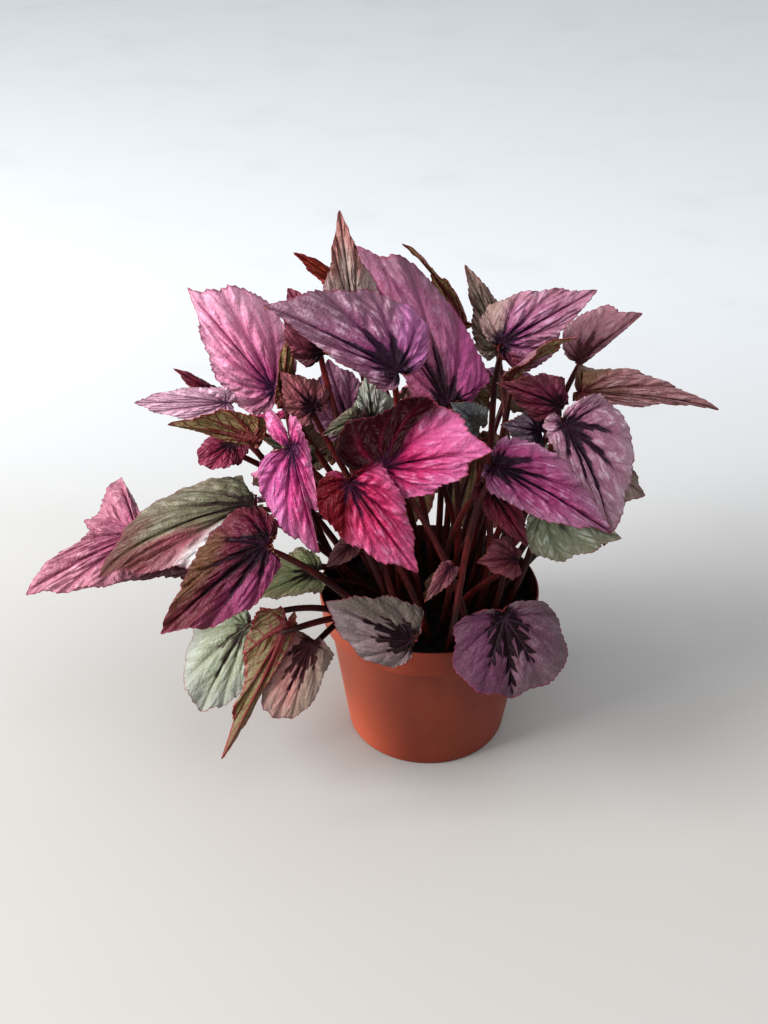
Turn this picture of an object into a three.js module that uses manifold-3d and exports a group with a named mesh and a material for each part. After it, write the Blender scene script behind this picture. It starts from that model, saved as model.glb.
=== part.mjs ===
// Rex begonia in a round nursery pot, in millimetres, +Z up.
// The origin is the middle of the pot's underside. The plant faces -Y, and +X is to its right.
import * as THREE from 'three';
import { mergeVertices } from 'three/addons/utils/BufferGeometryUtils.js';
import Module from 'manifold-3d';

const wasm = await Module();
wasm.setup();

const RAD = Math.PI / 180;
const GAP = 0.3; // air between two pieces that touch in the real plant

// Pot
const RIM_RADIUS = 60;
const POT_HEIGHT = 91;
const BASE_RADIUS = 44.5;
const NECK_RADIUS = 55; // outside of the body, just below the collar
const COLLAR_HEIGHT = 17;
const COLLAR_FLARE = 1.5; // how much wider the collar's top is than its lower edge
const POT_LIP = 1; // height of the chamfer on the rim, and of the step under the collar
const POT_WALL = 1.8;
const POT_FLOOR = 2.5;
const POT_SIDES = 48;
const DRAIN = { radius: 4, ring: 30, count: 6, sides: 12 };

// Soil
const SOIL_EDGE = 81; // height of the soil at the pot wall
const SOIL_MOUND = 3; // how much higher the soil is in the middle
const SOIL_LEVEL = 0.6; // the share of the radius over which the soil's middle is level
const SOIL_SIDES = 32;

// Rhizome: the knobbly crown in the middle of the soil
const RHIZOME = { radius: 7, foot: 66, top: 98, knobs: 3, waist: 0.82, taper: 0.05, sides: 10, lean: 8 };

// Stalks
const STALK_FOOT = 70; // height of a stalk's lower end, in its hole in the soil
const STALK_BASE = 2; // radius at the soil
const STALK_NECK = 1.4; // radius at the blade
const STALK_SIDES = 5;
const STALK_STEPS = 6;
const STALK_INSET = 3; // how far inside the notch of the blade a stalk ends
const STALK_SINK = 0.2; // how far its end lies above the middle of the blade's thickness
const STALK_RISE = 0.45; // the share of its length over which it leaves the soil
const STALK_BEND = 0.24; // the share of its length over which it turns to meet the blade
const STALK_MEETS = { out: -0.8, along: -0.55, up: -0.5 }; // the side that it comes from
const STALK_ROOM = 0.5; // least air between two stalks, or a stalk and a blade
const STALK_CHECKS = 60; // places along a stalk at which that air is measured
const SOCKET_RINGS = [ // [radius, how many stalks can stand on it], round the rhizome
  [12.5, 9],
  [19.5, 13],
  [26.5, 18],
  [33.5, 22],
  [40.5, 27],
];
const SOCKET_NEAREST = 12; // the radius wanted by an upright leaf's stalk
const SOCKET_SPREAD = 24; // how much further out the stalk of a low leaf wants to stand
const LOW_LEAF = 60; // degrees from upright at which a leaf is low

// Blades
const BLADE_THICKNESS = 0.8;
const TOOTH = 0.04; // how far the margin's teeth stand out, as a share of the radius
const RUFFLE = 1.5; // height of the waves along the margin
const WAVES = 5;
const RUFFLE_START = 20; // degrees from the tip at which the waves have their full height
const DRAWN = { angle: 30, spread: 35 }; // the part of the margin that a drawn blade narrows
const INNER_RING = 0.55; // the ring of points half way out, as a share of the way to the margin
const LARGE = 40; // a blade from this length up has more points along its margin
const SPOKES_LARGE = [0, 6, 15, 28, 44, 62, 84, 108, 134, 158, 176]; // degrees from the tip
const SPOKES_SMALL = [0, 11, 30, 56, 92, 134, 172];

// Outline of a blade: distance from the stalk to the margin, by the angle from the tip.
const OUTLINE_ANGLES = [0, 5, 12, 22, 36, 52, 70, 90, 110, 130, 150, 165, 176, 180];
const OUTLINE_POINTED = [1, 0.9, 0.8, 0.72, 0.655, 0.61, 0.575, 0.55, 0.53, 0.5, 0.45, 0.36, 0.2, 0.2];
const OUTLINE_ROUND = [1, 0.985, 0.97, 0.93, 0.88, 0.8, 0.7, 0.62, 0.57, 0.52, 0.46, 0.36, 0.2, 0.2];
const LOBE_DEPTH = 0.39; // how far both outlines reach behind the stalk

// Colours of the blades' finishes
const TONES = {
  magenta: 0xb43c6e,
  crimson: 0x6e1424,
  pink: 0xc86e96,
  purple: 0x78466e,
  plum: 0x4b2a48,
  lavender: 0x968aa0,
  rose: 0xa88496,
  silver: 0xaebcac,
  olive: 0x6e7355,
  khaki: 0x8c7d6e,
  rust: 0x9a4638,
  underside: 0x78643c,
};

/**
 * One leaf: where its stalk meets the blade, where its tip is, the way its upper face looks,
 * the width of its left and right half, how far its two lobes reach behind the stalk, and its tone.
 * Angles are in degrees: fold lifts each half at the midrib, curl turns its margin further up,
 * arch bends the midrib down between stalk and tip, twist turns the tip about the midrib.
 * round goes from a pointed outline (0) to a round one (1), draw narrows the part before the tip,
 * and swell moves each half's widest place towards the tip. Each of bumps is a bulge or a hollow of
 * the margin: its angle from the tip (left is negative), its height as a share of the radius, and
 * its spread. from is the side that the stalk comes from where it doesn't come from below.
 */
function leaf(at, tip, faces, half, lobes, tone, shape = {}) {
  const plain = { fold: [12, 12], curl: [-25, -25], arch: 30, twist: 0, round: 0, draw: 0, swell: [0, 0] };
  return { at, tip, faces, half, lobes, tone, bumps: [], from: null, ...plain, ...shape };
}

const LEAVES = [
  // Front, from the top down
  leaf([-19, -36, 240], [-80, -28, 269], [0, -7, 7], [11, 34], [4, 11], 'purple'),
  leaf([-24, -60, 202], [24, -76, 220], [1, -7, 7], [35, 17], [26, 3], 'magenta', {
    round: 0.25, bumps: [[-100, -0.1, 18], [-152, 0.6, 22], [30, 0.1, 10], [120, -0.3, 30]],
  }),
  leaf([-40, -72, 201], [-9, -92, 165], [-1, -8, 6], [17, 20], [3, 10], 'magenta', { round: 0.2 }),
  leaf([-68, -48, 205], [-55, -60, 150], [-1, -8, 5], [8, 23], [16, 16], 'pink', {
    bumps: [[110, -0.85, 28], [162, 0.35, 14], [-15, -0.3, 12]],
  }),
  leaf([28, -60, 202], [82, -72, 173], [2, -7, 7], [21, 13], [6, 6], 'purple', {
    round: 0.35, bumps: [[38, 0.1, 12], [115, -0.25, 25], [-105, -0.1, 20]],
  }),
  leaf([63, -30, 207], [87, -48, 157], [3, -6, 7], [36, 12], [8, 9], 'purple', {
    round: 0.3, bumps: [[-75, 0.08, 25]],
  }),
  leaf([79, -17, 181], [106, -26, 165], [0, -8, 5], [11, 24], [4, 4], 'olive', { round: 0.3 }),
  leaf([56, -30, 159], [94, -42, 150], [1, -8, 5], [12, 22], [5, 7], 'silver', { bumps: [[60, 0.12, 25]] }),
  leaf([35, -64, 117], [39, -86, 84], [1, -8, 6], [30, 26], [8, 5], 'lavender', {
    round: 0.8, bumps: [[42, 0.16, 22], [-42, 0.18, 22]],
  }),
  leaf([-11, -74, 111], [-53, -70, 132], [0, -8, 5], [17, 17], [3, 1], 'lavender', {
    round: 0.3, swell: [0.3, 0],
  }),
  leaf([-61, -64, 101], [-80, -76, 62], [-1, -8, 5], [13, 17], [5, 3], 'rose', {
    round: 1, bumps: [[-45, 0.1, 20], [-130, -0.2, 25]],
  }),
  leaf([-73, -68, 115], [-107, -90, 47], [5, 8, 2], [17, 5], [5, 10], 'underside', {
    fold: [40, 40], draw: 0.6, swell: [0.5, 0],
  }),
  leaf([-80, -66, 163], [-132, -84, 123], [-2, -7, 7], [20, 25], [1, 10], 'plum', {
    swell: [0.4, 0], bumps: [[22, -0.12, 12], [-95, -0.45, 35], [-150, -0.5, 25]],
  }),
  leaf([-96, -42, 95], [-122, -57, 49], [-3, -8, 6], [19, 27], [5, 8], 'silver', {
    round: 0.6, from: [7, 2, 10],
  }),
  leaf([-90, -32, 163], [-169, -45, 128], [-3, -6, 8], [27, 20], [6, 2], 'olive', {
    arch: 75, swell: [0, 0.45],
  }),
  leaf([-151, -22, 139], [-214, -32, 106], [-4, -6, 6], [20, 34], [10, 8], 'pink', {
    bumps: [[28, -0.45, 18], [58, -0.3, 14], [92, 0.3, 12], [135, -0.35, 20]],
  }),
  leaf([-128, -10, 114], [-190, -20, 102], [-1, -2, 10], [10, 16], [6, 6], 'underside'),
  leaf([-60, -26, 118], [-93, -38, 109], [-1, -5, 8], [10, 18], [5, 5], 'olive'),

  // Small ones low in the middle
  leaf([7, -66, 149], [-5, -76, 136], [0, -8, 6], [5, 5], [3, 3], 'pink'),
  leaf([39, -58, 149], [20, -68, 154], [0, -7, 7], [10, 12], [3, 4], 'crimson'),
  leaf([25, -48, 184], [45, -58, 156], [0, -8, 6], [11, 9], [4, 4], 'crimson'),
  leaf([-41, -48, 150], [-53, -54, 141], [0, -8, 6], [6, 6], [3, 3], 'pink'),
  leaf([-36, -14, 203], [-55, -22, 197], [0, -7, 7], [7, 7], [3, 3], 'olive'),

  // Left side
  leaf([-80, 6, 208], [-120, 14, 259], [-2, -8, 6], [20, 20], [8, 7], 'pink', {
    bumps: [[13, 0.14, 7], [34, 0.4, 14], [60, 0.45, 18], [110, -0.4, 28]],
  }),
  leaf([-103, -8, 208], [-147, -14, 211], [-2, -8, 5], [9, 8], [5, 5], 'pink', { round: 0.5 }),
  leaf([-88, -24, 196], [-128, -32, 209], [1, 9, -2], [14, 4], [5, 4], 'underside', { from: [4, 1, -8] }),
  leaf([-111, 10, 203], [-131, 14, 216], [-3, -5, 8], [5, 4], [3, 3], 'crimson'),
  leaf([-101, -12, 187], [-117, -20, 180], [-2, -7, 7], [11, 11], [7, 7], 'magenta', { round: 0.7 }),
  leaf([-61, -18, 180], [-84, -30, 201], [0, -7, 7], [8, 8], [4, 4], 'olive'),

  // Top
  leaf([7, -8, 207], [-45, 58, 266], [1, -8, 6], [13, 28], [2, 5], 'purple', {
    swell: [0, 0.4], bumps: [[30, 0.12, 15], [105, -0.15, 25]],
  }),
  leaf([-55, 2, 231], [-70, -2, 266], [-1, -7, 7], [14, 18], [5, 5], 'crimson', { round: 0.5 }),
  leaf([-41, 32, 249], [-69, 28, 272], [-1, -7, 7], [9, 7], [5, 5], 'rust', { draw: 0.3 }),
  leaf([-39, 12, 242], [-46, 24, 295], [0, -9, 4], [16, 15], [8, 8], 'khaki', { draw: 0.35 }),
  leaf([17, 50, 225], [-15, 52, 268], [2, 6, 7], [7, 14], [4, 4], 'underside', { draw: 0.6 }),
  leaf([37, 52, 210], [17, 54, 255], [0, -9, 4], [12, 15], [6, 6], 'khaki', { draw: 0.3 }),
  leaf([35, 16, 229], [81, 26, 253], [2, -8, 6], [20, 17], [7, 4], 'purple', {
    bumps: [[68, 0.2, 18], [28, -0.12, 12]],
  }),
  leaf([36, 2, 216], [71, 8, 237], [0, 7, 7], [8, 8], [5, 5], 'underside'),
  leaf([76, 26, 215], [107, 34, 237], [2, -7, 6], [17, 3], [5, 3], 'pink', {
    swell: [0.4, 0], bumps: [[-30, 0.1, 14]],
  }),
  leaf([75, 5, 207], [146, 7, 196], [1, -6, 8], [16, 6], [4, 5], 'pink', { bumps: [[-100, 0.35, 16]] }),

  // Deep in the middle
  leaf([-42, 8, 186], [-53, 18, 219], [-1, -9, 4], [19, 18], [6, 6], 'purple', { round: 0.3 }),
  leaf([-30, -8, 196], [-33, 2, 220], [0, -9, 4], [8, 12], [4, 4], 'silver'),
  leaf([-60, -4, 203], [-75, 0, 219], [0, -8, 6], [9, 9], [3, 3], 'pink'),
  leaf([61, -15, 210], [31, -22, 225], [0, -8, 6], [9, 12], [4, 4], 'crimson'),
  leaf([21, -30, 208], [7, -28, 219], [0, -8, 6], [9, 9], [3, 3], 'silver'),
  leaf([51, -25, 201], [32, -32, 209], [0, -8, 6], [7, 7], [3, 3], 'purple'),

  // Back
  leaf([45, 60, 188], [68, 94, 138], [3, 8, 6], [27, 25], [12, 12], 'purple', { round: 0.6 }),
  leaf([8, 56, 186], [14, 100, 128], [0, 8, 5], [27, 27], [12, 12], 'pink', { round: 0.3 }),
  leaf([-43, 50, 182], [-56, 94, 112], [-1, 8, 5], [27, 27], [12, 12], 'purple', { round: 0.6 }),
  leaf([-84, 38, 174], [-116, 76, 142], [-5, 6, 6], [18, 18], [10, 10], 'magenta', { round: 0.3 }),
  leaf([74, 54, 144], [108, 84, 96], [5, 7, 4], [24, 24], [12, 12], 'silver', { round: 0.3 }),
  leaf([28, 67, 144], [32, 103, 50], [2, 8, 3], [28, 28], [12, 12], 'plum', { round: 0.9 }),
  leaf([-16, 78, 142], [-12, 116, 48], [-1, 8, 3], [28, 28], [12, 12], 'lavender', { round: 0.9 }),
  leaf([-68, 52, 142], [-98, 92, 92], [-4, 7, 4], [24, 22], [12, 12], 'pink', { round: 0.3 }),
  leaf([-104, 30, 122], [-152, 50, 96], [-6, 3, 7], [20, 20], [10, 10], 'purple', { from: [8, -2, 1] }),
  leaf([78, 34, 112], [106, 60, 76], [7, 4, 6], [18, 18], [8, 8], 'lavender'),

  // Dark ones between the others
  leaf([-75, 1, 204], [-71, 3, 239], [-3, 7, 1], [7, 5], [4, 4], 'underside'),
  leaf([-3, 8, 176], [-5, 12, 218], [0, -9, 4], [15, 15], [4, 4], 'underside', { round: 0.3 }),
];

// --- Solids -----------------------------------------------------------------------------------

/** A geometry's closed mesh as a solid that can be joined and cut. */
function toSolid(geometry) {
  const bare = new THREE.BufferGeometry();
  bare.setAttribute('position', geometry.getAttribute('position'));
  if (geometry.index) bare.setIndex(geometry.index);
  const merged = mergeVertices(bare, 1e-3);
  return new wasm.Manifold(new wasm.Mesh({
    numProp: 3,
    vertProperties: new Float32Array(merged.getAttribute('position').array),
    triVerts: new Uint32Array(merged.index.array),
  }));
}

/** A solid as a geometry again. */
function toGeometry(solid) {
  const mesh = solid.getMesh();
  return meshGeometry(mesh.vertProperties, mesh.triVerts);
}

function meshGeometry(positions, triangles) {
  const geometry = new THREE.BufferGeometry();
  geometry.setAttribute('position', new THREE.BufferAttribute(new Float32Array(positions), 3));
  geometry.setIndex(Array.from(triangles));
  geometry.computeVertexNormals();
  return geometry;
}

/** A profile of [radius, height] points turned about Z. */
function turned(profile, sides) {
  const points = profile.map(([radius, height]) => new THREE.Vector2(radius, height));
  return new THREE.LatheGeometry(points, sides).rotateX(Math.PI / 2);
}

function interpolate(angle, values) {
  const k = Math.max(1, OUTLINE_ANGLES.findIndex((a) => a >= angle));
  const t = (angle - OUTLINE_ANGLES[k - 1]) / (OUTLINE_ANGLES[k] - OUTLINE_ANGLES[k - 1]);
  return values[k - 1] + t * (values[k] - values[k - 1]);
}

function widest(values) {
  let most = 0;
  for (let angle = 0; angle <= 180; angle += 1) {
    most = Math.max(most, Math.sin(angle * RAD) * interpolate(angle, values));
  }
  return most;
}

const POINTED_WIDTH = widest(OUTLINE_POINTED);
const ROUND_WIDTH = widest(OUTLINE_ROUND);

// --- Pot, soil and rhizome ----------------------------------------------------------------------

function potGeometry() {
  const collarFoot = POT_HEIGHT - COLLAR_HEIGHT;
  const collarRadius = RIM_RADIUS - COLLAR_FLARE;
  const floorRadius = BASE_RADIUS + ((NECK_RADIUS - BASE_RADIUS) * POT_FLOOR) / collarFoot;
  const profile = [
    [0, 0],
    [BASE_RADIUS, 0],
    [NECK_RADIUS, collarFoot - POT_LIP],
    [collarRadius, collarFoot],
    [RIM_RADIUS, POT_HEIGHT - POT_LIP],
    [RIM_RADIUS - 0.5 * POT_WALL, POT_HEIGHT],
    [RIM_RADIUS - POT_WALL, POT_HEIGHT - POT_LIP],
    [collarRadius - POT_WALL, collarFoot + POT_WALL],
    [NECK_RADIUS - POT_WALL, collarFoot],
    [floorRadius - POT_WALL, POT_FLOOR],
    [0, POT_FLOOR],
  ];
  let pot = toSolid(turned(profile, POT_SIDES));
  for (let k = 0; k < DRAIN.count; k += 1) {
    const angle = (k * 2 * Math.PI) / DRAIN.count;
    const drill = new THREE.CylinderGeometry(DRAIN.radius, DRAIN.radius, 4 * POT_FLOOR, DRAIN.sides);
    drill.rotateX(Math.PI / 2);
    drill.translate(DRAIN.ring * Math.cos(angle), DRAIN.ring * Math.sin(angle), 0);
    pot = pot.subtract(toSolid(drill));
  }
  return toGeometry(pot);
}

/** The soil follows the inside of the pot, with a hole for the rhizome and for each stalk. */
function soilGeometry(rooted) {
  const collarFoot = POT_HEIGHT - COLLAR_HEIGHT;
  const inset = POT_WALL + GAP;
  const foot = POT_FLOOR + GAP;
  const slope = (NECK_RADIUS - BASE_RADIUS) / collarFoot;
  const rim = RIM_RADIUS - COLLAR_FLARE + (COLLAR_FLARE * (SOIL_EDGE - collarFoot)) / COLLAR_HEIGHT - inset;
  const profile = [
    [0, foot],
    [BASE_RADIUS + slope * foot - inset, foot],
    [NECK_RADIUS - inset - slope * POT_LIP, collarFoot - POT_LIP],
    [NECK_RADIUS - inset, collarFoot + GAP],
    [RIM_RADIUS - COLLAR_FLARE - inset, collarFoot + inset],
    [rim, SOIL_EDGE],
    [SOIL_LEVEL * rim, SOIL_EDGE + SOIL_MOUND],
    [0, SOIL_EDGE + SOIL_MOUND],
  ];
  let soil = toSolid(turned(profile, SOIL_SIDES));
  soil = soil.subtract(toSolid(rhizomeGeometry(GAP)));
  for (const one of rooted) soil = soil.subtract(toSolid(stalkGeometry(one.curve, GAP)));
  return toGeometry(soil);
}

/** The crown: a leaning stub with a ring of swelling for each of its knobs. */
function rhizomeGeometry(grown = 0) {
  const { radius, foot, top, knobs, waist, taper, sides, lean } = RHIZOME;
  const profile = [[0, foot - grown]];
  const rings = 2 * knobs + 1;
  for (let k = 0; k < rings; k += 1) {
    const swelling = (k % 2 ? 1 : waist) * (1 - taper * k);
    profile.push([radius * swelling + grown, foot + ((top - foot) * (k + 0.3)) / rings]);
  }
  profile.push([0, top + grown]);
  const stub = turned(profile, sides);
  stub.translate(0, 0, -foot);
  stub.rotateY(lean * RAD);
  stub.translate(0, 0, foot);
  return stub;
}

// --- Leaves -------------------------------------------------------------------------------------

/** The directions of a blade: from stalk to tip, out of its upper face, and to its right. */
function bladeAxes(one) {
  const at = new THREE.Vector3(...one.at);
  const chord = new THREE.Vector3(...one.tip).sub(at);
  const along = chord.clone().normalize();
  const out = new THREE.Vector3(...one.faces);
  out.addScaledVector(along, -out.dot(along)).normalize();
  const right = new THREE.Vector3().crossVectors(along, out);
  return { at, length: chord.length(), along, out, right };
}

/** The point of a blade at an angle from its tip, at a share of the way to its margin. */
function bladePoint(one, axes, angle, share, tooth) {
  const side = angle < 0 ? 0 : 1;
  const turn = Math.abs(angle);
  const swing = angle * RAD;
  const blend = (pointed, round) => pointed + one.round * (round - pointed);
  const plain = blend(interpolate(turn, OUTLINE_POINTED), interpolate(turn, OUTLINE_ROUND)) * (1 + tooth);
  const reach = one.bumps.reduce((radius, [middle, rise, spread]) => {
    return radius * (1 + rise * Math.exp(-(((angle - middle) / spread) ** 2)));
  }, plain);
  const drawn = 1 - one.draw * Math.max(0, 1 - Math.abs(turn - DRAWN.angle) / DRAWN.spread);
  const swollen = 1 + one.swell[side] * Math.cos(swing);
  const width = (one.half[side] * drawn * swollen) / blend(POINTED_WIDTH, ROUND_WIDTH);

  const bend = one.arch * RAD;
  const midrib = (axes.length * (bend / 2)) / Math.sin(bend / 2);
  const forward = Math.cos(swing) * reach * share;
  const y = forward * (forward < 0 ? one.lobes[side] / LOBE_DEPTH : midrib);
  const x = Math.sin(swing) * reach * width * share;

  const start = axes.along.clone().multiplyScalar(Math.cos(bend / 2));
  start.addScaledVector(axes.out, Math.sin(bend / 2));
  const rise = axes.out.clone().multiplyScalar(Math.cos(bend / 2));
  rise.addScaledVector(axes.along, -Math.sin(bend / 2));
  const bent = (bend * y) / midrib;
  const point = axes.at.clone();
  point.addScaledVector(start, (midrib / bend) * Math.sin(bent));
  point.addScaledVector(rise, -(midrib / bend) * (1 - Math.cos(bent)));

  const normal = rise.multiplyScalar(Math.cos(bent)).addScaledVector(start, Math.sin(bent));
  const twist = (one.twist * RAD * y) / midrib;
  const across = axes.right.clone().multiplyScalar(Math.cos(twist)).addScaledVector(normal, Math.sin(twist));
  normal.multiplyScalar(Math.cos(twist)).addScaledVector(axes.right, -Math.sin(twist));

  const lift = (one.fold[side] + (one.curl[side] * Math.abs(x)) / one.half[side]) * RAD;
  const wave = RUFFLE * share * share * Math.sin(WAVES * swing) * Math.min(1, turn / RUFFLE_START);
  point.addScaledVector(across, x * Math.cos(lift));
  return point.addScaledVector(normal, Math.abs(x) * Math.sin(lift) + wave);
}

/** The margin stands out at every other spoke, and its tip stays where it is. */
function marginTooth(angle, k) {
  if (angle === 0) return 0;
  return k % 2 ? TOOTH : -TOOTH;
}

/** The middle surface of a blade: a fan of spokes from the stalk, the same on both faces. */
function bladeSurface(one) {
  const axes = bladeAxes(one);
  const half = axes.length < LARGE ? SPOKES_SMALL : SPOKES_LARGE;
  const spokes = [...half.slice(1).reverse().map((angle) => -angle), ...half];
  const inner = spokes.filter((_, k) => k % 2 === 0);
  const points = [
    axes.at,
    ...inner.map((angle) => bladePoint(one, axes, angle, INNER_RING, 0)),
    ...spokes.map((angle, k) => bladePoint(one, axes, angle, 1, marginTooth(angle, k))),
  ];
  const triangles = [];
  for (let k = 1; k < inner.length; k += 1) {
    const outer = inner.length + 2 * k - 1;
    triangles.push([0, k + 1, k]);
    triangles.push([k, outer + 1, outer], [k, k + 1, outer + 1], [k + 1, outer + 2, outer + 1]);
  }
  const margin = [0, 1, ...spokes.map((_, k) => inner.length + 1 + k), inner.length];
  return { points, triangles, margin };
}

/** The surface given its thickness, half of it on each side. */
function bladeGeometry(surface) {
  const { points, triangles, margin } = surface;
  const normals = points.map(() => new THREE.Vector3());
  for (const triangle of triangles) {
    const [a, b, c] = triangle.map((k) => points[k]);
    const normal = b.clone().sub(a).cross(c.clone().sub(a));
    triangle.forEach((k) => normals[k].add(normal));
  }
  normals.forEach((normal) => normal.setLength(BLADE_THICKNESS / 2));
  const upper = points.map((point, k) => point.clone().add(normals[k]));
  const lower = points.map((point, k) => point.clone().sub(normals[k]));
  const under = points.length;
  const faces = [...triangles, ...triangles.map(([a, b, c]) => [a + under, c + under, b + under])];
  margin.forEach((a, k) => {
    const b = margin[(k + 1) % margin.length];
    faces.push([a, b, b + under], [a, b + under, a + under]);
  });
  return meshGeometry([...upper, ...lower].flatMap((point) => point.toArray()), faces.flat());
}

/** The line of a stalk, from its foot in the soil to the blade, which it meets from below. */
function stalkCurve(one, socket) {
  const { at, along, out } = bladeAxes(one);
  const foot = new THREE.Vector3(socket.x, socket.y, STALK_FOOT);
  const end = at.clone().addScaledVector(out, STALK_SINK).addScaledVector(along, STALK_INSET);
  const length = end.distanceTo(foot);
  const rising = new THREE.Vector3(foot.x / RIM_RADIUS, foot.y / RIM_RADIUS, 1).normalize();
  const arriving = new THREE.Vector3(...(one.from ?? [0, 0, STALK_MEETS.up]));
  if (!one.from) arriving.addScaledVector(out, STALK_MEETS.out).addScaledVector(along, STALK_MEETS.along);
  arriving.normalize();
  return new THREE.CubicBezierCurve3(
    foot,
    foot.clone().addScaledVector(rising, STALK_RISE * length),
    end.clone().addScaledVector(arriving, STALK_BEND * length),
    end,
  );
}

function stalkRadius(t) {
  return STALK_BASE + t * (STALK_NECK - STALK_BASE);
}

/** A tapering tube along the stalk's line, closed at both ends. */
function stalkGeometry(curve, grown = 0) {
  const frames = curve.computeFrenetFrames(STALK_STEPS, false);
  const positions = [];
  const faces = [];
  for (let step = 0; step <= STALK_STEPS; step += 1) {
    const centre = curve.getPointAt(step / STALK_STEPS);
    const radius = stalkRadius(step / STALK_STEPS) + grown;
    for (let side = 0; side < STALK_SIDES; side += 1) {
      const angle = (side * 2 * Math.PI) / STALK_SIDES;
      const point = centre.clone();
      point.addScaledVector(frames.normals[step], radius * Math.cos(angle));
      point.addScaledVector(frames.binormals[step], radius * Math.sin(angle));
      positions.push(...point.toArray());
    }
  }
  const last = STALK_STEPS * STALK_SIDES;
  for (let side = 0; side < STALK_SIDES; side += 1) {
    const next = (side + 1) % STALK_SIDES;
    for (let ring = 0; ring < last; ring += STALK_SIDES) {
      const [a, b, c, d] = [ring + side, ring + next, ring + STALK_SIDES + side, ring + STALK_SIDES + next];
      faces.push(a, b, d, a, d, c);
    }
    if (side > 0 && next > 0) faces.push(0, next, side, last, last + side, last + next);
  }
  return meshGeometry(positions, faces);
}

/** Where stalks can stand: rings of places round the rhizome. */
function sockets() {
  return SOCKET_RINGS.flatMap(([radius, count], ring) => Array.from({ length: count }, (_, k) => {
    const angle = ((k + 0.5 * (ring % 2)) * 2 * Math.PI) / count;
    return { x: radius * Math.cos(angle), y: radius * Math.sin(angle) };
  }));
}

/** The place a stalk would like best: under its blade, further out the lower the blade hangs. */
function wantedSocket(one) {
  const [x, y, z] = one.at;
  const reach = Math.hypot(x, y);
  const slope = Math.atan2(reach, z - STALK_FOOT / 2) / (LOW_LEAF * RAD);
  const radius = SOCKET_NEAREST + SOCKET_SPREAD * Math.min(1, slope);
  return { x: (radius * x) / reach, y: (radius * y) / reach };
}

/** Whether a stalk keeps clear of the pot's rim, of the other stalks and of the other blades. */
function isClear(samples, others, blades, own) {
  const closest = new THREE.Vector3();
  const wall = RIM_RADIUS - COLLAR_FLARE - POT_WALL - STALK_BASE;
  return samples.every((point, k) => {
    const radius = stalkRadius(k / (samples.length - 1));
    if (Math.hypot(point.x, point.y) > wall && point.z < POT_HEIGHT + STALK_BASE) return false;
    for (const other of others) {
      for (let j = 0; j < other.length; j += 1) {
        const room = radius + stalkRadius(j / (other.length - 1)) + STALK_ROOM;
        if (point.distanceToSquared(other[j]) < room * room) return false;
      }
    }
    const room = radius + BLADE_THICKNESS + STALK_ROOM;
    return blades.every((blade) => {
      if (blade === own || blade.box.distanceToPoint(point) > room) return true;
      return blade.patches.every((patch) => {
        return patch.closestPointToPoint(point, closest).distanceTo(point) > room;
      });
    });
  });
}

/** Each stalk in turn takes the nearest free place from which its way up is clear. */
function rootLeaves(leaves) {
  const blades = leaves.map((one) => {
    const surface = bladeSurface(one);
    return {
      surface,
      box: new THREE.Box3().setFromPoints(surface.points),
      patches: surface.triangles.map((t) => new THREE.Triangle(...t.map((k) => surface.points[k]))),
    };
  });
  const free = sockets();
  const stalks = [];
  return leaves.map((one, index) => {
    const wanted = wantedSocket(one);
    const far = (place) => Math.hypot(place.x - wanted.x, place.y - wanted.y);
    const nearest = [...free].sort((a, b) => far(a) - far(b));
    const sampled = (place) => stalkCurve(one, place).getSpacedPoints(STALK_CHECKS);
    const chosen = nearest.find((place) => isClear(sampled(place), stalks, blades, blades[index]));
    const place = chosen ?? nearest[0];
    free.splice(free.indexOf(place), 1);
    stalks.push(sampled(place));
    return { tone: one.tone, surface: blades[index].surface, curve: stalkCurve(one, place) };
  });
}

/** The blade and its stalk as one body, without the loose scraps that joining them can leave. */
function leafGeometry(one) {
  const joined = toSolid(bladeGeometry(one.surface)).add(toSolid(stalkGeometry(one.curve)));
  const bodies = joined.decompose().sort((a, b) => b.volume() - a.volume());
  return toGeometry(bodies[0]);
}

// --- The whole plant ----------------------------------------------------------------------------

function mesh(name, geometry, color, roughness) {
  const made = new THREE.Mesh(geometry, new THREE.MeshStandardMaterial({ color, roughness, metalness: 0 }));
  made.name = name;
  return made;
}

const plant = new THREE.Group();
const rooted = rootLeaves(LEAVES);
plant.add(mesh('pot', potGeometry(), 0xb25842, 0.5));
plant.add(mesh('soil', soilGeometry(rooted), 0x1c1612, 0.95));
plant.add(mesh('rhizome', rhizomeGeometry(), 0x6b4a34, 0.8));
rooted.forEach((one, index) => {
  const name = `leaf_${String(index + 1).padStart(2, '0')}`;
  plant.add(mesh(name, leafGeometry(one), TONES[one.tone], 0.45));
});

export default plant;
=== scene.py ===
"""The looks of a rex begonia in its nursery pot, in metres, +Z up.

The pot's underside stands on the origin and the plant faces -Y. Fine leaves, soil, crown and pot
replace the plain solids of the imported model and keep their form. The studio is not part of them.
"""

import logging
import math
import random
from contextlib import contextmanager
from dataclasses import dataclass, replace
from enum import Enum
from typing import Any, Callable, Iterator, Sequence

import bpy
import numpy as np
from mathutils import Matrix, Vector, noise


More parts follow.
